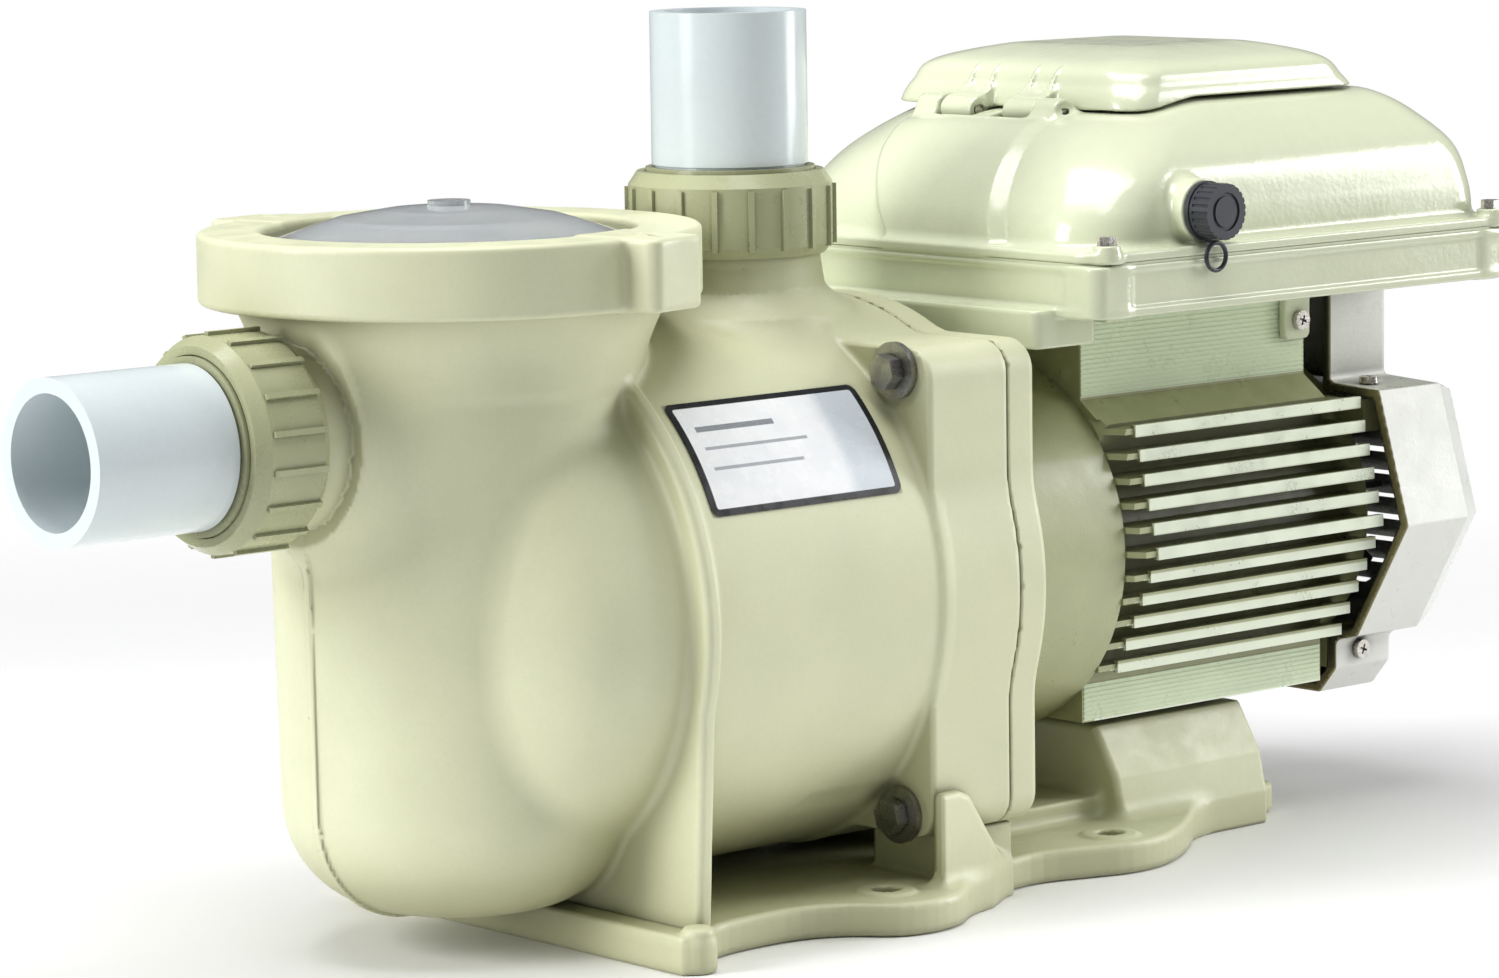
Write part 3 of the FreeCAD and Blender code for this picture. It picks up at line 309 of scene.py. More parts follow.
def housing(p):
    body = housing_outside(p)
    threads = np.minimum(rod(p, "x", (0, SUCTION_Z), THREAD_R, -241, -208, 0.5),
                         rod(p, "z", (0, 0), THREAD_R, 243, 267, 0.5))
    body = np.minimum(body, threads)
    for y, z in BOLTS:
        pocket = spun(p, "x", (y, z), [(-42, 0), (-32, 12.5), (9.6, 12.5), (9.6, 0)])
        body = carve(body, pocket, 2.5)
    rad_pot = np.hypot(p[0] - POT_X, p[1])
    lug = corner_mix(span(rad_pot, 79, 84), span(p[2], 247, 253), 0.6)
    body = np.minimum(body, np.maximum(lug, rad_pot * off_lug(p, math.pi / 4) - 14))
    room = spun(p, "z", (POT_X, 0), [(20.5, 0), (20.5, 32), (27, 46), (43, 57.5), (68, 61),
                                     (258, 62), (258, 0)])
    body = carve(body, room, 1.5)
    body = carve(body, rod(p, "x", (0, SHAFT_Z), 27, POT_X, -20))
    body = carve(body, rod(p, "x", (0, SHAFT_Z), 92, -36, 53))
    body = carve(body, rod(p, "z", (0, 0), BORE_R, SHAFT_Z + 60, 270))
    body = carve(body, rod(p, "x", (0, SUCTION_Z), BORE_R, -245, POT_X), 1.5)
    body = carve(body, rod(p, "x", (0, SHAFT_Z), 96.5, 46.8, 53))
    for y0, z0 in BOLTS:
        body = carve(body, rod(p, "x", (y0, z0), 4.3, 0, 53))
    for dx, dz, face in DRAINS:
        body = carve(body, rod(p, "y", (dx, dz), 8, 40, face + 2))
    return body


def clamp_ring(p):
    x, y, z = p
    lo, hi = low("lid_ring").z, high("lid_ring").z
    rad = np.hypot(x - POT_X, y)
    body = corner_mix(rad - 93, span(z, lo, hi), 2.2)
    for turn in (-77, 103):
        a = math.radians(turn)
        u = (x - POT_X) * math.cos(a) + y * math.sin(a)
        v = y * math.cos(a) - (x - POT_X) * math.sin(a)
        plan = corner_mix(span(u, 60, 105.5), span(v, -15, 15), 5)
        body = blend(body, corner_mix(plan, span(z, lo, hi), 2.0), 2.5)
        slot = corner_mix(corner_mix(span(u, 84, 97), span(v, -1.6, 1.6), 1), hi - 0.9 - z, 0.2)
        body = carve(body, slot, 0.8)
    body = carve(body, rod(p, "z", (POT_X, 0), 69, hi - 9, hi + 2), 3.0)
    body = carve(body, rod(p, "z", (POT_X, 0), 85.5, lo - 2, hi - 7), 1.0)
    tab = corner_mix(span(rad, 81, 86.5), span(z, lo, lo + 4.5), 0.6)
    return np.minimum(body, np.maximum(tab, rad * off_lug(p, 0) - 11))


def seal_plate(p):
    x, y, z = p
    plate = barrel_outline(p, FLANGE_R + 0.2, 4.0, 46, 66)
    flash = 0.056 * np.sin(z * 0.31) + 0.04 * np.sin(z * 0.87 + 1.3)
    plate = np.maximum(plate, FLANGE_X + 0.13 + flash - x)
    plate = np.minimum(plate, rod(p, "x", (0, SHAFT_Z), 91.5, 45, 53, 0.8))
    plate = np.minimum(plate, rod(p, "x", (0, SHAFT_Z), 30, 35, 53, 0.8))
    plate = carve(plate, rod(p, "x", (0, SHAFT_Z), 12, 0, 100))
    plate = carve(plate, rod(p, "x", (0, SHAFT_Z), 21, 34, 45))
    return carve(plate, rod(p, "x", (0, SHAFT_Z), 30, 57, 68), 1.0)


# ---- drive --------------------------------------------------------------------------------------
def smooth_table(keys, values):
    """A smooth curve through a few values, sampled once and read back for any height."""
    fine = np.linspace(keys[0], keys[-1], 400)
    slope = np.gradient(values, keys)
    i = np.clip(np.searchsorted(keys, fine, "right") - 1, 0, len(keys) - 2)
    keys, values = np.array(keys, float), np.array(values, float)
    w = keys[i + 1] - keys[i]
    t = (fine - keys[i]) / w
    curve = ((1 + 2 * t) * (1 - t) ** 2 * values[i] + t * (1 - t) ** 2 * w * slope[i]
             + t * t * (3 - 2 * t) * values[i + 1] + t * t * (t - 1) * w * slope[i + 1])
    return lambda q: np.interp(q, fine, curve)


# front, back, half width and corner of the dome and of the flip lid at a few heights
DOME = [smooth_table([244, 262, 280, 291, 301], v) for v in (
    [92, 98, 113, 128, 145], [323, 323.5, 321, 312, 298], [105, 103, 96, 85, 73],
    [26, 28, 32, 32, 26])]
LID = [smooth_table([290, 297, 306, 316, 321], v) for v in (
    [149, 149, 152, 162, 180], [288, 288, 284, 273, 257], [71, 71, 68, 59, 42],
    [14, 14, 16, 16, 14])]


def step_up(q, lo, hi):
    t = np.clip((q - lo) / (hi - lo), 0, 1)
    return t * t * (3 - 2 * t)


def plan_shape(p, tables, inset=0.0, far_corner=0.0):
    """A section for every height, the wall thickness measured along the slope."""
    x0, x1, half, r = (t(p[2] + inset) for t in tables)
    r = r + far_corner * ((p[0] < 200) & (p[1] > 0)) - 0.25 * far_corner * (p[0] > 200)
    return corner_mix(span(p[0], x0 + inset, x1 - inset), span(p[1], inset - half, half - inset), r)


def dome_solid(p, inset):
    x, y, z = p
    top = 296.5 + 4.5 * step_up(x, 152, 190) - inset
    centre, half = np.interp(z, [246, 290], [-24, 2]), np.interp(z, [246, 290], [31.5, 39.5])
    panel = 4.5 * step_up(half - np.abs(y - centre), -3.5, 3.5) * step_up(-x, -150, -125)
    shape = (plan_shape(p, DOME, inset, 36) - panel) * 0.85
    return -blend(-shape, -(z - top), 9.0)


RIM_FRONT, RIM_BACK, RIM_HALF, RIM_CORNER = 84, 327, 115, 14
TRAY_LOW, TRAY_TOP, COVER_LOW = 223, 243, 244
RIM_SCREWS = [(x, y) for x in (94, 317) for y in (-110.5, 110.5)]


def rim_shape(p, inset, z0, z1, edge):
    plan = corner_mix(span(p[0], RIM_FRONT + inset, RIM_BACK - inset),
                      span(p[1], inset - RIM_HALF, RIM_HALF - inset), RIM_CORNER - inset / 2)
    return corner_mix(plan, span(p[2], z0, z1), edge)


def cover_field(p):
    body = np.maximum(dome_solid(p, 0), COVER_LOW - p[2])
    body = blend(body, rim_shape(p, 0.4, COVER_LOW, COVER_LOW + 4, 1.2), 4)
    for screw in RIM_SCREWS:
        body = blend(body, rod(p, "z", screw, 5.4, COVER_LOW, COVER_LOW + 7, 0.8), 2.5)
    for side in (-1, 1):
        lo, hi = mirrored(side, 27, 40)
        ear = blend(rod(p, "y", (HINGE_X, HINGE_Z), 6.2, lo, hi, 1.2),
                    block(p, (HINGE_X - 6, HINGE_X + 6), (lo, hi), (282, HINGE_Z), 1.0), 2)
        body = blend(body, ear, 5)
    body = blend(body, rod(p, "y", (PORT_X, PORT_Z), 12.5, -110, -92, 1.0), 3)
    body = carve(body, np.maximum(dome_solid(p, 4), COVER_LOW - 1 - p[2]))
    body = carve(body, block(p, (165.7, 272.3), (-52.3, 52.3), (285, 306), 0.5), 1)
    for side in (-1, 1):
        body = carve(body, rod(p, "y", (HINGE_X, HINGE_Z), 7.6, *mirrored(side, 5, 26.7)), 1.5)
        body = carve(body, rod(p, "y", (HINGE_X, HINGE_Z), 2.0, *mirrored(side, 26, 41)))
    body = carve(body, rod(p, "y", (PORT_X, PORT_Z), 8, -112, -90))
    for screw in RIM_SCREWS:
        body = carve(body, rod(p, "z", screw, 2.4, COVER_LOW - 2, COVER_LOW + 8))
    return body


def lid_solid(p, inset):
    x, y, z = p
    floor = 297.3 + 4.7 * step_up(x, 152, 190) - 2 * (inset > 0)
    shape = plan_shape(p, LID, inset) * 0.8
    top = -blend(-shape, -(z - 320.9 + inset), 7.0)
    return corner_mix(top, floor - z, 0.8 if inset == 0 else 0)


def lid_field(p):
    x, y, z = p
    body = lid_solid(p, 0)
    body = body + 1.5 * np.exp(-((x - 160) ** 2 + (y + 54) ** 2) / 60)
    body = carve(body, lid_solid(p, 3.0))
    knuckle_arm = [(141, 297), (141, 301), (153, 306), (153, 299), (147, 297)]
    for side in (-1, 1):
        lo, hi = mirrored(side, 9, 26.7)
        body = blend(body, rod(p, "y", (HINGE_X, HINGE_Z), 5.0, lo, hi, 0.8), 1.0)
        arm = slab((y, x, z), "x", knuckle_arm, lo, hi, 0.8)
        body = blend(body, arm, 2.0)
        for spike in (11.5, 23.5):
            yc = side * spike
            reach = 3.2 * (1 - np.clip((z - 297) / 16, 0, 1))
            fin = np.maximum(x - 166, 143 + (z - 297) * 0.75 - x)
            fin = np.maximum(fin, np.abs(y - yc) - reach)
            fin = np.maximum(fin, np.maximum(297 - z, z - 313)) * 0.8
            body = blend(body, fin, 1.5)
    return carve(body, rod(p, "y", (HINGE_X, HINGE_Z), 2.05, -27, 27))


def tray_field(p):
    x, y, z = p
    body = rim_shape(p, 1.4, TRAY_LOW, TRAY_TOP, 1.2)
    body = blend(body, rim_shape(p, 0.2, TRAY_LOW, TRAY_LOW + 3.5, 1.0), 1.2)
    body = blend(body, rim_shape(p, 0.5, TRAY_TOP - 2.5, TRAY_TOP, 0.8), 1.2)
    for sx, sy in RIM_SCREWS:
        cx, cy = sx + (1.2 if sx < 200 else -1.2), sy - math.copysign(6.0, sy)
        boss = corner_mix(span(x, cx - 11, cx + 11), span(y, cy - 10.3, cy + 10.3), 6)
        body = blend(body, corner_mix(boss, span(z, TRAY_LOW, TRAY_TOP), 1.0), 2.0)
    body = carve(body, rim_shape(p, 8, TRAY_LOW + 4, TRAY_TOP + 2, 0.5))
    skirt = corner_mix(corner_mix(span(x, 74, 108), span(y, -92, 92), 4), span(z, 211, 226), 1.0)
    room = corner_mix(corner_mix(span(x, 80, 110), span(y, -86, 86), 3), span(z, 200, 223), 0)
    body = blend(body, carve(skirt, room), 1.5)
    cx, cz = middle("bracket_screws").x, middle("bracket_screws").z
    for side in (-1, 1):
        ear = corner_mix(corner_mix(span(x, cx - 8, cx + 7), cz - 8 - z, 3),
                         span(y, *mirrored(side, 52.2, 56.2)), 0.7)
        body = blend(body, np.maximum(ear, z - 225), 1.5)
        for i in range(4):
            tooth = block(p, (112 + 13 * i, 118 + 13 * i), mirrored(side, 66, 92),
                          (218.5 + 0.6 * i, 225), 0.6)
            body = blend(body, tooth, 0.8)
        body = carve(body, rod(p, "y", (cx, cz), 2.3, *mirrored(side, 51, 57)))
    body = carve(body, rod(p, "z", (200, 0), 16, 222, 230))
    for screw in RIM_SCREWS:
        body = carve(body, rod(p, "z", screw, 2.2, TRAY_LOW + 6, TRAY_TOP + 1))
    return body


# ---- motor end ----------------------------------------------------------------------------------
OCTAGON = [(-40, 178), (-77, 176), (-93, 121), (-65, 72), (-40, 66),
           (40, 66), (65, 72), (93, 121), (77, 176), (40, 178)]


CASE_FOOT = [(-53, 110), (-53, 57), (-44, 46.2), (44, 46.2), (53, 57), (53, 110)]


def fan_case(p, inset, front):
    """The outside of the fan cover, moved in by inset and starting at front."""
    x, y, z = p
    neck_x, neck_z, edge = 321.8 - inset, 221.8 - inset, 3 - inset / 2
    s = np.interp(x, [324, 338, 344, 350], [1, 0.92, 0.8, 0.66])
    wide = outline(y / s, (z - SHAFT_Z) / s + SHAFT_Z, OCTAGON) * s + inset
    wide = corner_mix(wide * 0.9, span(x, front, 343.8 - inset), edge)
    top = block(p, (front, neck_x), (inset - 50, 50 - inset), (120, neck_z), edge)
    bottom = corner_mix(outline(y, z, CASE_FOOT) + inset, span(x, front, neck_x), edge)
    return blend(blend(wide, top, 3), bottom, 3)


def fan_cover_field(p):
    body = np.maximum(fan_case(p, 0, 280), low("fan_cover").x - p[0])
    body = carve(body, fan_case(p, 4, 270), 0.8)
    disc = rod(p, "x", (0, SHAFT_Z), 44, 334, 350)
    louvre = (p[0], p[1], p[2] + 1.6 * (p[0] - 342))
    for i in range(9):
        slot = block(louvre, (334, 350), (-46, 46), (82 + 9.5 * i, 87 + 9.5 * i), 1.2) * 0.55
        body = carve(body, meet(slot, disc, 1.0), 0.8)
    for side in (-1, 1):
        body = carve(body, rod(p, "z", (297, side * 62), 2.3, 168, 180))
        body = carve(body, rod(p, "y", (301, 64), 2.3, *mirrored(side, 45, 56)))
    return body


def ribbed_panel(name, x0, x1, z0, z1, face, side, pitch, depth):
    """A skin with level ribs over a flat side of the motor."""
    steps = int((z1 - z0) / pitch)
    pts = [(face - 0.6, z0)]
    for i in range(steps):
        z = z0 + i * pitch
        pts += [(face + 0.03, z + 0.02), (face + 0.03, z + 0.3 * pitch),
                (face + depth, z + 0.48 * pitch), (face + depth, z + 0.82 * pitch)]
    pts.append((face - 0.6, z0 + steps * pitch))
    ring = np.array([(side * y, z) for y, z in pts])
    n = len(ring)
    verts = np.concatenate([np.column_stack([np.full(n, x), ring]) for x in (x0, x1)])
    mesh = bpy.data.meshes.new(name)
    faces = [(i, (i + 1) % n, n + (i + 1) % n, n + i) for i in range(n)]
    faces += [tuple(range(n))[::-1], tuple(range(n, 2 * n))]
    if side > 0:
        faces = [f[::-1] for f in faces]
    mesh.from_pydata([tuple(v * MM) for v in verts], [], faces)
    obj = show(name, mesh)
    finish_piece(obj, "painted_motor", "neck", "pump_body")


# ---- foot ---------------------------------------------------------------------------------------
FOOT_TOP = 13
FOOT_HOLES = [(-11, -95.25), (125, -79.375)]
FOOT_EDGE = [(-122, -100), (-121.5, -106), (-117, -110.5), (-110, -110.8), (-105.5, -106),
             (-101, -99), (-92, -93.5), (-75, -91.5), (-52, -93), (-36, -101), (-22, -115),
             (-6, -119), (10, -115.5), (24, -105), (38, -99), (52, -91), (66, -85), (84, -84),
             (104, -90), (122, -95.5), (140, -94.5), (158, -87), (176, -75), (194, -61),
             (208, -55), (228, -53), (248, -50), (255, -46)]


def rounded_path(pts, parts=3):
    """Catmull-Rom curve through points, as a denser list."""
    out = []
    for i in range(len(pts) - 1):
        a, b, c, d = (np.array(pts[min(max(i + k, 0), len(pts) - 1)], float) for k in (-1, 0, 1, 2))
        for j in range(parts):
            t = j / parts
            out.append(tuple(0.5 * (2 * b + (c - a) * t + (2 * a - 5 * b + 4 * c - d) * t * t
                                    + (3 * b - a - 3 * c + d) * t ** 3)))
    return out + [pts[-1]]


def foot_field(p):
    x, y, z = p
    near = rounded_path(FOOT_EDGE)
    side = -np.abs(y)
    plan = outline(x, side, [(-122, 5)] + near + [(255.5, 5)])
    plan = np.maximum(plan, np.maximum(y - 96 - (x + 122), -x - 122.5))
    body = corner_mix(plan, span(z, 0, FOOT_TOP), 2.4)
    lip = corner_mix(corner_mix(span(x, -122, -110.5), np.abs(y) - 107, 2), span(z, 0, 14.2), 1.0)
    lip = np.maximum(lip, y - 96 - (x + 122))
    body = blend(body, lip, 2)
    knob = rod((x, side, z), "z", (-113.5, -105), 6.2, 0, 17, 2.2)
    body = blend(body, np.maximum(knob, y), 1.5)
    q = (x, side, z)
    wall = slab(q, "z", [(8, -107), (8, -101), (38, -96), (60, -84), (61, -88), (38, -102)], 0, 50)
    profile = outline(x, z, [(7.5, 0), (7.5, 49), (19, 49), (26, 46), (38, 29.5), (50, 20),
                             (62, FOOT_TOP), (62, 0)])
    wall = meet(wall, profile, 3.0)
    body = blend(body, wall, 7)
    body = blend(body, block(q, (20, 61), (-90, -55), (0, 29.6), 1.0), 3)
    for hole in FOOT_HOLES:
        body = blend(body, rod(q, "z", hole, 11, 0, FOOT_TOP + 1, 0.6), 2.5)
    saddle = outline(y, z, [(-62, 0), (-62, FOOT_TOP), (-58, 30), (-46, 49.6), (46, 49.6),
                            (58, 30), (62, FOOT_TOP), (62, 0)])
    saddle = corner_mix(saddle, span(x, 150, 236), 2.5)
    body = blend(body, saddle, 8)
    body = blend(body, block(p, (60, 160), (-50, 50), (0, 21.8), 1.5), 5)
    body = carve(body, block(p, (158, 250), (-44, 44), (20, 43), 3), 2)
    for hole in FOOT_HOLES:
        body = carve(body, rod(q, "z", hole, 5.5, -2, 30), 1.0)
    return np.maximum(body, -z)


def solid_piece(name, field, step, slot, material, body, node):
    reach = 2.5 * step
    lo, hi = low(node) - Vector((reach,) * 3), high(node) + Vector((reach,) * 3)
    obj = solid(name, field, lo, hi, step)
    finish_piece(obj, slot, material, body, node)


def build_pieces():
    plastic, paint = ("housing_plastic", "moulded"), ("painted_drive", "drive")
    for name, field, step, (slot, material), body, node in (
            ("housing_shell", housing, 1.7, plastic, "pump_body", "pump_housing"),
            ("clamp_ring", clamp_ring, 1.3, plastic, "lid_ring_body", "lid_ring"),
            ("seal_plate_shell", seal_plate, 1.5, plastic, "pump_body", "seal_plate"),
            ("drive_dome", cover_field, 1.3, paint, "pump_body", "drive_cover"),
            ("flip_lid", lid_field, 1.1, paint, "control_lid_body", "control_lid"),
            ("drive_pan", tray_field, 1.3, paint, "pump_body", "drive_tray"),
            ("fan_hood", fan_cover_field, 1.3, ("fan_cover_plastic", "fan_cover"), "pump_body",
             "fan_cover"),
            ("foot", foot_field, 1.6, plastic, "pump_body", "base_foot")):
        solid_piece(name, field, step, slot, material, body, node)
    for side, word in ((-1, "near"), (1, "far")):
        ribbed_panel("neck_ribs_" + word, 138, 267.5, 184, 221, 52.0, side, 1.9, 0.35)
        ribbed_panel("pad_ribs_" + word, 138.5, 277.5, 53.6, 70, 52.0, side, 1.9, 0.35)


# ---- materials ----------------------------------------------------------------------------------
class Graph:
    """Short calls for building a node material."""

    def __init__(self, name):
        self.mat = bpy.data.materials.new(name)
        self.mat.use_nodes = True
        self.tree = self.mat.node_tree
        self.shader = self.tree.nodes["Principled BSDF"]
        self.place = self.node("ShaderNodeTexCoord").outputs["Object"]
        self.height = None

    def node(self, kind, **inputs):
        n = self.tree.nodes.new(kind)
        for key, value in inputs.items():
            self.set(n, key.replace("_", " "), value)
        return n

    def set(self, n, key, value):
        socket = n.inputs[int(key)] if key.isdigit() else n.inputs[key]
        if isinstance(value, bpy.types.NodeSocket):
            self.tree.links.new(value, socket)
        else:
            socket.default_value = value

    def math(self, op, *values):
        n = self.tree.nodes.new("ShaderNodeMath")
        n.operation = op
        for i, value in enumerate(values):
            self.set(n, str(i), value)
        return n.outputs[0]

    def ramp(self, value, lo, hi, out_lo=0.0, out_hi=1.0):
        n = self.node("ShaderNodeMapRange", Value=value, From_Min=lo, From_Max=hi,
                      To_Min=out_lo, To_Max=out_hi)
        n.interpolation_type = "SMOOTHSTEP"
        return n.outputs[0]

    def noise(self, size, detail=3.0, stretch=None):
        """Noise with features of about size millimetres, from 0 to 1."""
        where = self.place
        if stretch:
            mapping = self.node("ShaderNodeMapping", Vector=where)
            mapping.inputs["Scale"].default_value = stretch
            where = mapping.outputs[0]
        n = self.node("ShaderNodeTexNoise", Vector=where, Scale=1000.0 / size, Detail=detail)
        return n.outputs["Fac"]

    def mix(self, factor, a, b):
        n = self.tree.nodes.new("ShaderNodeMix")
        n.data_type = "RGBA"
        self.set(n, "0", factor)
        for i, value in ((6, a), (7, b)):
            self.set(n, str(i), value if isinstance(value, bpy.types.NodeSocket) else (*value, 1))
        return n.outputs[2]

    def bump(self, value, depth, strength=1.0):
        """Adds a relief of depth millimetres to the ones already there."""
        n = self.node("ShaderNodeBump", Height=value, Distance=depth * MM, Strength=strength)
        if self.height is not None:
            self.set(n, "Normal", self.height)
        self.height = n.outputs[0]
        self.set(self.shader, "Normal", self.height)

    def vanish(self, amount):
        """Lets the surface fade out where amount is 1."""
        fade = self.node("ShaderNodeMixShader")
        clear = self.node("ShaderNodeBsdfTransparent")
        for i, value in enumerate((amount, self.shader.outputs[0], clear.outputs[0])):
            self.set(fade, str(i), value)
        self.set(self.tree.nodes["Material Output"], "Surface", fade.outputs[0])

    def axes(self):
        n = self.node("ShaderNodeSeparateXYZ", Vector=self.place)
        return n.outputs


def shade(tone, amount):
    return tuple(min(1.0, c * amount) for c in tone)


def crevices(g, colour, tone, reach, strength, clear=0.95):
    """Darkens inside corners found by ambient occlusion: painted shade, with a little dust."""
    ao = g.node("ShaderNodeAmbientOcclusion", Distance=reach * MM)
    ao.samples = 6
    return g.mix(g.ramp(ao.outputs["AO"], 0.35, clear, strength, 0.0), colour, tone)


def worn(g, colour, tone, amount):
    """Lightens outside edges a little."""
    edge = g.node("ShaderNodeNewGeometry").outputs["Pointiness"]
    patch = g.math("MULTIPLY", g.ramp(edge, 0.515, 0.6), g.ramp(g.noise(9), 0.35, 0.75))
    return g.mix(g.math("MULTIPLY", patch, amount), colour, tone)


def surface_material(name, tone, rough, grain=0.6, grain_depth=0.03, wave=18.0, wave_depth=0.05,
                     mottle=0.06, metallic=0.0, coat=0.0, shadow=0.35, wear=0.2, spread=0.08,
                     specular=0.5, hollow_shade=0.0):
    """A moulded, cast or painted surface: fine grain, slow waviness, mottled colour and gloss, with
    painted shade in its corners and broad valleys.
    """
    g = Graph(name)
    cloud = g.noise(45, 4)
    colour = g.mix(g.ramp(cloud, 0.3, 0.7), shade(tone, 1 - mottle), shade(tone, 1 + mottle * 0.6))
    fine = g.noise(grain * 2.2, 3)
    colour = g.mix(g.ramp(fine, 0.35, 0.75, 0.0, 0.12), colour, shade(tone, 0.82))
    # Painted shade: darkens broad valleys and the space between parts, where ambient occlusion finds
    # them.
    if hollow_shade:
        valley_shade_tone = (tone[0] * 0.5, tone[1] * 0.48, tone[2] * 0.36)
        colour = crevices(g, colour, valley_shade_tone, 55, hollow_shade, 1.0)
    # Painted shade, with a little dust, in tight inside corners.
    colour = crevices(g, colour, shade(tone, 0.42), 7, shadow)
    colour = worn(g, colour, shade(tone, 1.18), wear)
    g.set(g.shader, "Base Color", colour)
    gloss = g.math("ADD", g.ramp(g.noise(14, 4), 0.3, 0.7, rough - spread, rough + spread),
                   g.ramp(fine, 0.3, 0.7, -0.03, 0.03))
    g.set(g.shader, "Roughness", gloss)
    g.shader.inputs["Metallic"].default_value = metallic
    g.shader.inputs["Specular IOR Level"].default_value = specular
    g.shader.inputs["Coat Weight"].default_value = coat
    g.shader.inputs["Coat Roughness"].default_value = 0.12
    g.bump(g.noise(wave, 2), wave_depth)
    g.bump(g.noise(grain, 2), grain_depth)
    return g


def metal_material(name, tone, rough, streak=(1, 1, 1), depth=0.02):
    g = Graph(name)
    g.shader.inputs["Metallic"].default_value = 1.0
    lines = g.noise(0.5, 4, streak)
    stain = g.noise(6, 5)
    colour = g.mix(g.ramp(lines, 0.3, 0.7), shade(tone, 0.8), shade(tone, 1.15))
    colour = g.mix(g.ramp(stain, 0.45, 0.75, 0.0, 0.5), colour, shade(tone, 0.5))
    # Painted shade, with a little dust, in the tight corners of the metal parts.
    colour = crevices(g, colour, shade(tone, 0.2), 2.5, 0.7)
    g.set(g.shader, "Base Color", colour)
    g.set(g.shader, "Roughness", g.math("ADD", g.ramp(lines, 0.3, 0.7, rough - 0.08, rough + 0.1),
                                        g.ramp(stain, 0.4, 0.7, 0.0, 0.12)))
    g.bump(lines, depth)
    return g


def motor_material():
    """Enamel on cast metal, with strong painted shade between the fins, and the fin tips painted
    lighter: partly rubbed bright, partly painted highlight.
    """
    tone = (0.46, 0.48, 0.28)
    # Strong painted shade between the fins and in the corners of the motor.
    g = surface_material("motor_enamel", tone, 0.36, grain=0.9, grain_depth=0.05, wave=9,
                         wave_depth=0.1, mottle=0.09, shadow=0.75, coat=0.15,
                         hollow_shade=0.95)
    x, y, z = g.axes()[:3]
    tip_y, taper_up, taper_down, tips_from = 85.5 * MM, 0.26, 0.49, 144 * MM
    rise = g.math("SUBTRACT", z, SHAFT_Z * MM)
    above = g.math("MAXIMUM", rise, 0.0)
    below = g.math("MAXIMUM", g.math("MULTIPLY", rise, -1.0), 0.0)
    slope = g.math("ADD", g.math("MULTIPLY", above, taper_up),
                   g.math("MULTIPLY", below, taper_down))
    depth = g.math("SUBTRACT", g.math("SUBTRACT", tip_y, slope), g.math("ABSOLUTE", y))
    edge = g.ramp(depth, 0.4 * MM, 0.8 * MM, 1.0, 0.0)
    scuff = g.ramp(g.noise(3.5, 6, (0.35, 1, 1)), 0.0, 0.3, 0.85, 1.0)
    # Fin tips painted lighter: partly rubbed metal, partly painted highlight.
    bright = g.math("MULTIPLY", g.math("MULTIPLY", edge, scuff),
                    g.ramp(x, tips_from, tips_from + 0.5 * MM))
    base = g.shader.inputs["Base Color"].links[0].from_socket
    g.set(g.shader, "Base Color", g.mix(bright, base, (0.80, 0.86, 0.70)))
    g.set(g.shader, "Metallic", g.math("MULTIPLY", bright, 0.35))
    return g


def lip_material(g):
    """Paints shade on the fan cover: the front face of the lip gets a greenish brown painted shade,
    and its inside is darkened nearly to black by painted shade.
    """
    x = g.axes()[0]
    front = (low("fan_cover").x + 0.8) * MM
    base = g.shader.inputs["Base Color"].links[0].from_socket
    # Painted shade on the front face of the lip, greenish brown.
    lip_shade_colour = g.mix(g.noise(2.2, 4), (0.20, 0.17, 0.07), (0.32, 0.28, 0.13))
    colour = g.mix(g.ramp(x, front, front + 0.4 * MM, 1.0, 0.0), base, lip_shade_colour)
    # Painted shade inside the cover, near black where it is deepest.
    g.set(g.shader, "Base Color", crevices(g, colour, (0.03, 0.03, 0.02), 40, 1.0, 0.8))
    return g


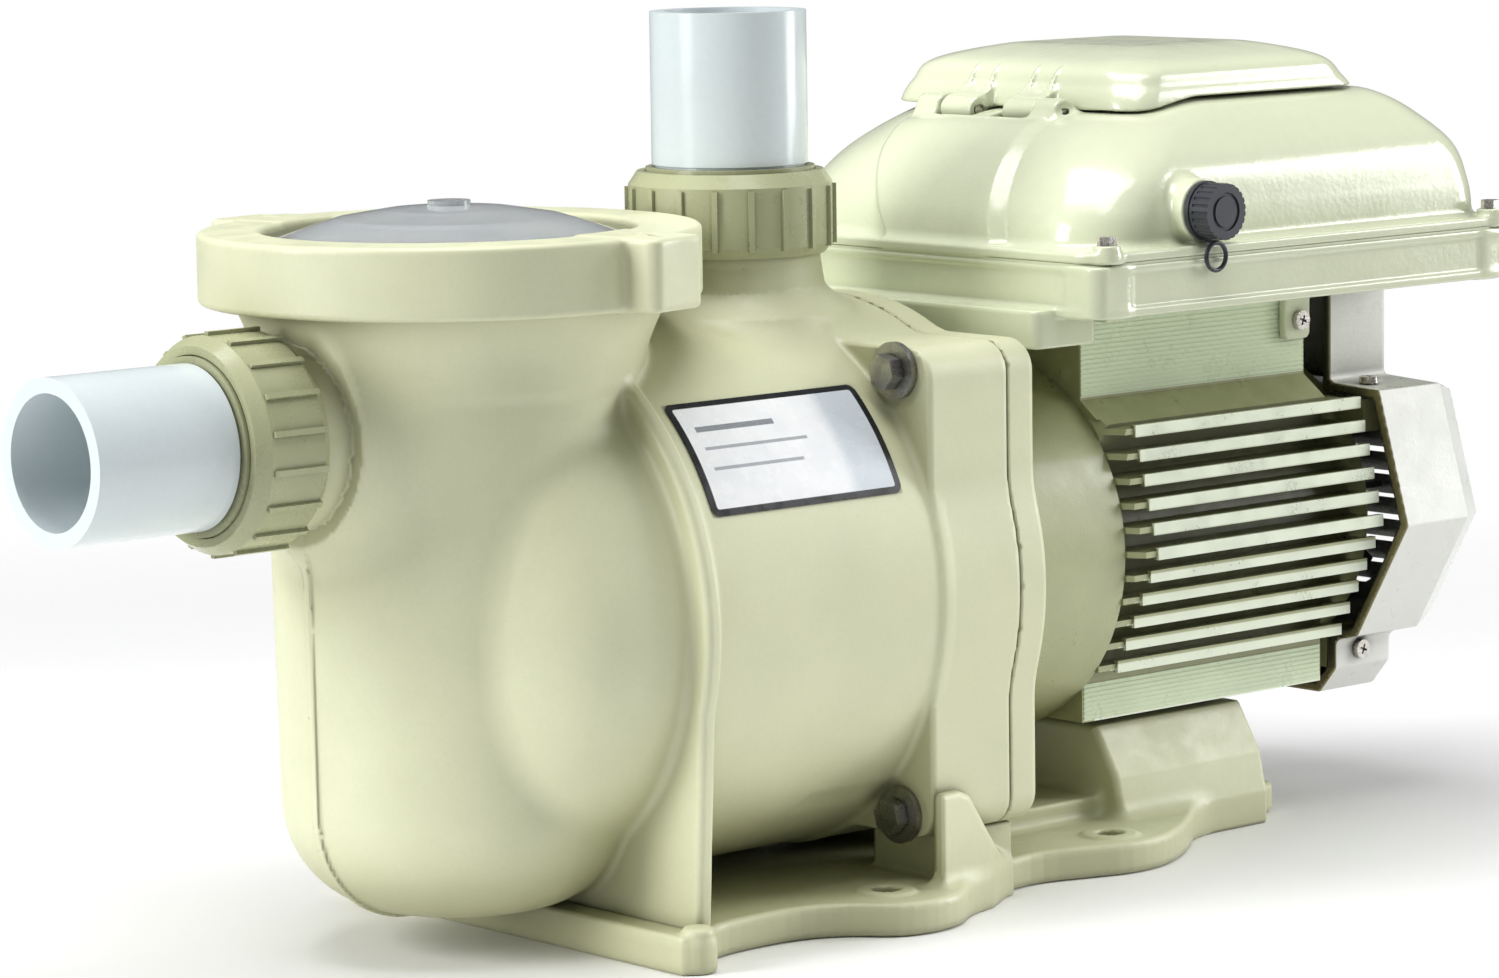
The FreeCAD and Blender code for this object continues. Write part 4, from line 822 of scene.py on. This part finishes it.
def label_material():
    """White plate with a dark border, a tinted end and plain ruled lines, in millimetres."""
    g = Graph("label_print")
    x, y, z = g.axes()[:3]
    lo, hi = low("name_label"), high("name_label")
    along = g.math("MULTIPLY", x, 1000.0)
    turn = g.math("ARCTAN2", g.math("SUBTRACT", z, SHAFT_Z * MM), g.math("MULTIPLY", y, -1.0))
    start, stop = (math.atan2(p.z - SHAFT_Z, -p.y) for p in (lo, hi))
    up = g.math("MULTIPLY", turn, LABEL_R)
    cx, cy = (lo.x + hi.x) / 2, LABEL_R * (start + stop) / 2
    half_x, half_y, r, border = (hi.x - lo.x) / 2, LABEL_R * (stop - start) / 2, 4.0, 3.0
    far_x = g.math("SUBTRACT", g.math("ABSOLUTE", g.math("SUBTRACT", along, cx)), half_x - r)
    far_y = g.math("SUBTRACT", g.math("ABSOLUTE", g.math("SUBTRACT", up, cy)), half_y - r)
    outside = g.math("SQRT", g.math("ADD", g.math("POWER", g.math("MAXIMUM", far_x, 0.0), 2.0),
                                    g.math("POWER", g.math("MAXIMUM", far_y, 0.0), 2.0)))
    depth = g.math("SUBTRACT", g.math("ADD", outside, g.math("MINIMUM", g.math(
        "MAXIMUM", far_x, far_y), 0.0)), r)
    paper = g.mix(g.ramp(g.noise(12), 0.3, 0.7), (0.86, 0.88, 0.9), (0.92, 0.93, 0.94))
    tint = g.ramp(along, hi.x - 27, hi.x - 19)
    paper = g.mix(g.math("MULTIPLY", tint, 0.75), paper, (0.55, 0.62, 0.68))
    margin, pitch = 8, 8.5
    for row, (x1, tall, ink) in enumerate(((46, 2.2, 0.9), (58, 1.1, 0.7), (52, 1.1, 0.7))):
        y0 = cy + half_y - 13 - pitch * row
        bar = g.math("MULTIPLY", g.ramp(along, lo.x + margin, lo.x + margin + 0.3),
                     g.ramp(along, lo.x + x1, lo.x + x1 + 0.3, 1.0, 0.0))
        bar = g.math("MULTIPLY", bar, g.ramp(g.math("ABSOLUTE", g.math("SUBTRACT", up, y0)),
                                             tall / 2, tall / 2 + 0.25, 1.0, 0.0))
        paper = g.mix(g.math("MULTIPLY", bar, ink), paper, (0.2, 0.22, 0.25))
    colour = g.mix(g.ramp(depth, -border, 0.3 - border), paper, (0.015, 0.016, 0.018))
    g.set(g.shader, "Base Color", colour)
    g.set(g.shader, "Roughness", g.ramp(g.noise(7, 4), 0.3, 0.7, 0.2, 0.32))
    g.bump(g.noise(1.1, 2), 0.012)
    g.vanish(g.ramp(depth, -0.06, 0.06))
    return g


def glass_material():
    g = Graph("clear_dome")
    colour = g.mix(g.ramp(g.noise(22, 4), 0.3, 0.7), (0.88, 0.93, 0.95), (0.95, 0.97, 0.98))
    g.set(g.shader, "Base Color", colour)
    g.set(g.shader, "Roughness", g.ramp(g.noise(9, 5), 0.35, 0.75, 0.02, 0.1))
    g.shader.inputs["Transmission Weight"].default_value = 0.72
    g.shader.inputs["IOR"].default_value = 1.47
    g.bump(g.noise(26, 2), 0.25)
    return g


HOUSING_TONE = (0.70, 0.715, 0.49)
UNION_TONE = (0.42, 0.435, 0.26)
DRIVE_TONE = (0.69, 0.73, 0.53)
COVER_TONE = (0.84, 0.85, 0.80)


def make_materials():
    made = {}

    def keep(key, graph):
        made[key] = graph.mat

    # Moulded plastic, with painted shade in its corners and broad valleys.
    keep("moulded", surface_material("moulded_housing", HOUSING_TONE, 0.42, grain=0.8,
                                     grain_depth=0.035, wave=22, wave_depth=0.12, mottle=0.035,
                                     shadow=0.5, hollow_shade=0.62))
    keep("union", surface_material("moulded_union", UNION_TONE, 0.3, grain=0.7, grain_depth=0.02,
                                   wave=14, wave_depth=0.05, shadow=0.6))
    keep("pipe", surface_material("white_pipe", (0.70, 0.77, 0.79), 0.2, grain=1.2,
                                  grain_depth=0.01, wave=30, wave_depth=0.06, mottle=0.015,
                                  shadow=0.25, wear=0.0, spread=0.04))
    keep("drive", surface_material("drive_enamel", DRIVE_TONE, 0.2, grain=2.4, grain_depth=0.09,
                                   wave=26, wave_depth=0.18, mottle=0.02, coat=0.4, shadow=0.45,
                                   spread=0.04))
    # Fan cover plastic, with painted shade on its lip and inside.
    keep("fan_cover", lip_material(surface_material(
        "fan_cover_plastic", COVER_TONE, 0.34, grain=1.4, grain_depth=0.04, wave=30,
        wave_depth=0.1, mottle=0.03, shadow=0.5, wear=0.0)))
    keep("motor", motor_material())
    keep("neck", surface_material("neck_enamel", (0.74, 0.84, 0.60), 0.34, grain=0.9, wave=9,
                                  shadow=0.5, coat=0.15))
    keep("rubber", surface_material("black_rubber", (0.028, 0.031, 0.04), 0.42, grain=0.5,
                                    grain_depth=0.03, mottle=0.2, wear=0.3, shadow=0.3))
    keep("basket", surface_material("basket_plastic", (0.62, 0.63, 0.62), 0.4, grain=0.7))
    keep("inner", surface_material("filled_plastic", (0.07, 0.07, 0.075), 0.5, grain=0.4,
                                   grain_depth=0.05, mottle=0.15))
    keep("board", surface_material("board_green", (0.04, 0.16, 0.08), 0.35, grain=0.4))
    keep("keypad", surface_material("keypad_sheet", (0.12, 0.14, 0.16), 0.45, grain=0.5))
    keep("keys", surface_material("key_rubber", (0.62, 0.64, 0.62), 0.5, grain=0.4))
    keep("display", surface_material("display_window", (0.16, 0.2, 0.17), 0.08, grain=2.0,
                                     grain_depth=0.004, wave_depth=0.02, coat=0.6))
    keep("ceramic", surface_material("lapped_ceramic", (0.85, 0.83, 0.78), 0.25, grain=0.4))
    keep("bolts", metal_material("stainless_dark", (0.40, 0.39, 0.37), 0.3))
    keep("screws", metal_material("stainless_bright", (0.66, 0.63, 0.58), 0.24))
    keep("steel", metal_material("ground_steel", (0.6, 0.6, 0.6), 0.25, (0.1, 1, 1)))
    keep("core", metal_material("core_laminations", (0.3, 0.3, 0.32), 0.45, (8, 0.5, 0.5), 0.06))
    keep("copper", metal_material("enamelled_copper", (0.72, 0.34, 0.14), 0.3, (0.2, 3, 3), 0.1))
    keep("glass", glass_material())
    keep("label", label_material())
    return made


USES = {
    "moulded": ["base_foot", "pump_housing", "seal_plate", "lid_ring"],
    "union": ["suction_nut", "discharge_nut", "suction_tailpiece", "discharge_tailpiece"],
    "pipe": ["suction_pipe", "discharge_pipe"],
    "motor": ["motor_front_bell", "motor_frame", "motor_rear_bell"],
    "drive": ["drive_tray", "drive_cover", "control_lid", "drive_gasket"],
    "fan_cover": ["fan_cover"],
    "rubber": ["housing_seal", "suction_union_seal", "discharge_union_seal", "motor_pad",
               "port_cap", "cap_tether", "lid_seal", "seal_ring"],
    "basket": ["strainer_basket"],
    "inner": ["diffuser", "impeller", "cooling_fan", "port_socket", "drain_plug_pot",
              "drain_plug_volute"],
    "board": ["control_board"],
    "keypad": ["keypad_panel"],
    "display": ["display_window"],
    "ceramic": ["seal_seat"],
    "bolts": ["housing_bolts", "motor_bolts"],
    "screws": ["rim_screws", "bracket_screws", "fan_cover_screws", "impeller_screw",
               "hinge_pins"],
    "steel": ["motor_shaft", "bearing_outer_races", "bearing_inner_races", "bearing_balls"],
    "core": ["stator_core", "rotor_core"],
    "copper": ["stator_windings"],
    "glass": ["clear_lid"],
    "label": ["name_label"],
}


# ---- scene --------------------------------------------------------------------------------------
def finish_piece(obj, slot, material, body, *nodes):
    obj.data.materials.clear()
    obj.data.materials.append(MATERIALS[material])
    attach(obj, body)
    if nodes:
        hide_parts(*nodes)


def dress_nodes():
    for key, names in USES.items():
        for name in names:
            mesh = NODES[name].data
            mesh.materials.clear()
            mesh.materials.append(MATERIALS[key])
    for name in NODES:
        if name.startswith("button"):
            NODES[name].data.materials.clear()
            NODES[name].data.materials.append(MATERIALS["keys"])


CAMERA_PLACE = (-1.3521, -1.5395, 0.4288)
CAMERA_TURN = (-41.45, 7.57, -0.86)  # degrees: round the pump, downwards, and rolled
CAMERA_LENS = 127.86


def make_camera():
    azimuth, pitch, roll = (math.radians(a) for a in CAMERA_TURN)
    ahead = Vector((-math.sin(azimuth) * math.cos(pitch), math.cos(azimuth) * math.cos(pitch),
                    -math.sin(pitch)))
    level = Vector((math.cos(azimuth), math.sin(azimuth), 0))
    upright = level.cross(ahead)
    right = math.cos(roll) * level + math.sin(roll) * upright
    up = math.cos(roll) * upright - math.sin(roll) * level
    data = bpy.data.cameras.new("photo_camera")
    data.sensor_width = 36
    data.lens = CAMERA_LENS
    data.clip_end = 60
    obj = bpy.data.objects.new("photo_camera", data)
    bpy.context.scene.collection.objects.link(obj)
    place = Matrix((right, up, -ahead)).transposed().to_4x4()
    place.translation = CAMERA_PLACE
    obj.matrix_world = place
    bpy.context.scene.camera = obj


def lamp(name, place, aim, size, power):
    data = bpy.data.lights.new(name, "AREA")
    data.shape = "RECTANGLE"
    data.size, data.size_y = size
    data.energy = power
    obj = bpy.data.objects.new(name, data)
    bpy.context.scene.collection.objects.link(obj)
    obj.location = place
    obj.rotation_euler = (Vector(aim) - Vector(place)).to_track_quat("-Z", "Y").to_euler()


def make_studio():
    world = bpy.data.worlds.new("studio")
    bpy.context.scene.world = world
    world.use_nodes = True
    nodes, links = world.node_tree.nodes, world.node_tree.links
    backdrop, ambient = nodes["Background"], nodes.new("ShaderNodeBackground")
    backdrop.inputs["Color"].default_value = (1, 1, 1, 1)
    ambient.inputs["Color"].default_value = (0.97, 0.99, 1, 1)
    ambient.inputs["Strength"].default_value = 0.2
    switch, path = nodes.new("ShaderNodeMixShader"), nodes.new("ShaderNodeLightPath")
    links.new(path.outputs["Is Camera Ray"], switch.inputs[0])
    links.new(ambient.outputs[0], switch.inputs[1])
    links.new(backdrop.outputs[0], switch.inputs[2])
    links.new(switch.outputs[0], nodes["World Output"].inputs["Surface"])
    lamp("left", (-1.9, 0.5, 0.9), (-0.1, 0, 0.14), (0.7, 1.4), 36)
    lamp("right", (1.95, -1.0, 0.75), (0.05, 0, 0.12), (0.8, 1.4), 30)
    lamp("overhead", (-0.15, -0.05, 1.75), (0.03, 0, 0.1), (1.6, 0.8), 26)
    half, fade_from, fade_to = 9, 0.5, 1.15
    verts = np.array([(-half, -half, 0), (half, -half, 0), (half, half, 0), (-half, half, 0)]) / MM
    floor = show("floor", mesh_from("floor", verts, np.array([[0, 1, 2, 3]])))
    g = Graph("pale_floor")
    g.set(g.shader, "Base Color", g.mix(g.noise(700), (0.9, 0.9, 0.9), (0.93, 0.93, 0.93)))
    g.shader.inputs["Roughness"].default_value = 0.6
    x, y = g.axes()[:2]
    reach = g.math("SQRT", g.math("ADD", g.math("POWER", x, 2.0), g.math("POWER", y, 2.0)))
    g.vanish(g.ramp(reach, fade_from, fade_to))
    floor.data.materials.append(g.mat)


bpy.context.scene.view_settings.view_transform = "Standard"
MATERIALS = make_materials()
dress_nodes()
make_camera()
make_studio()
build_pieces()
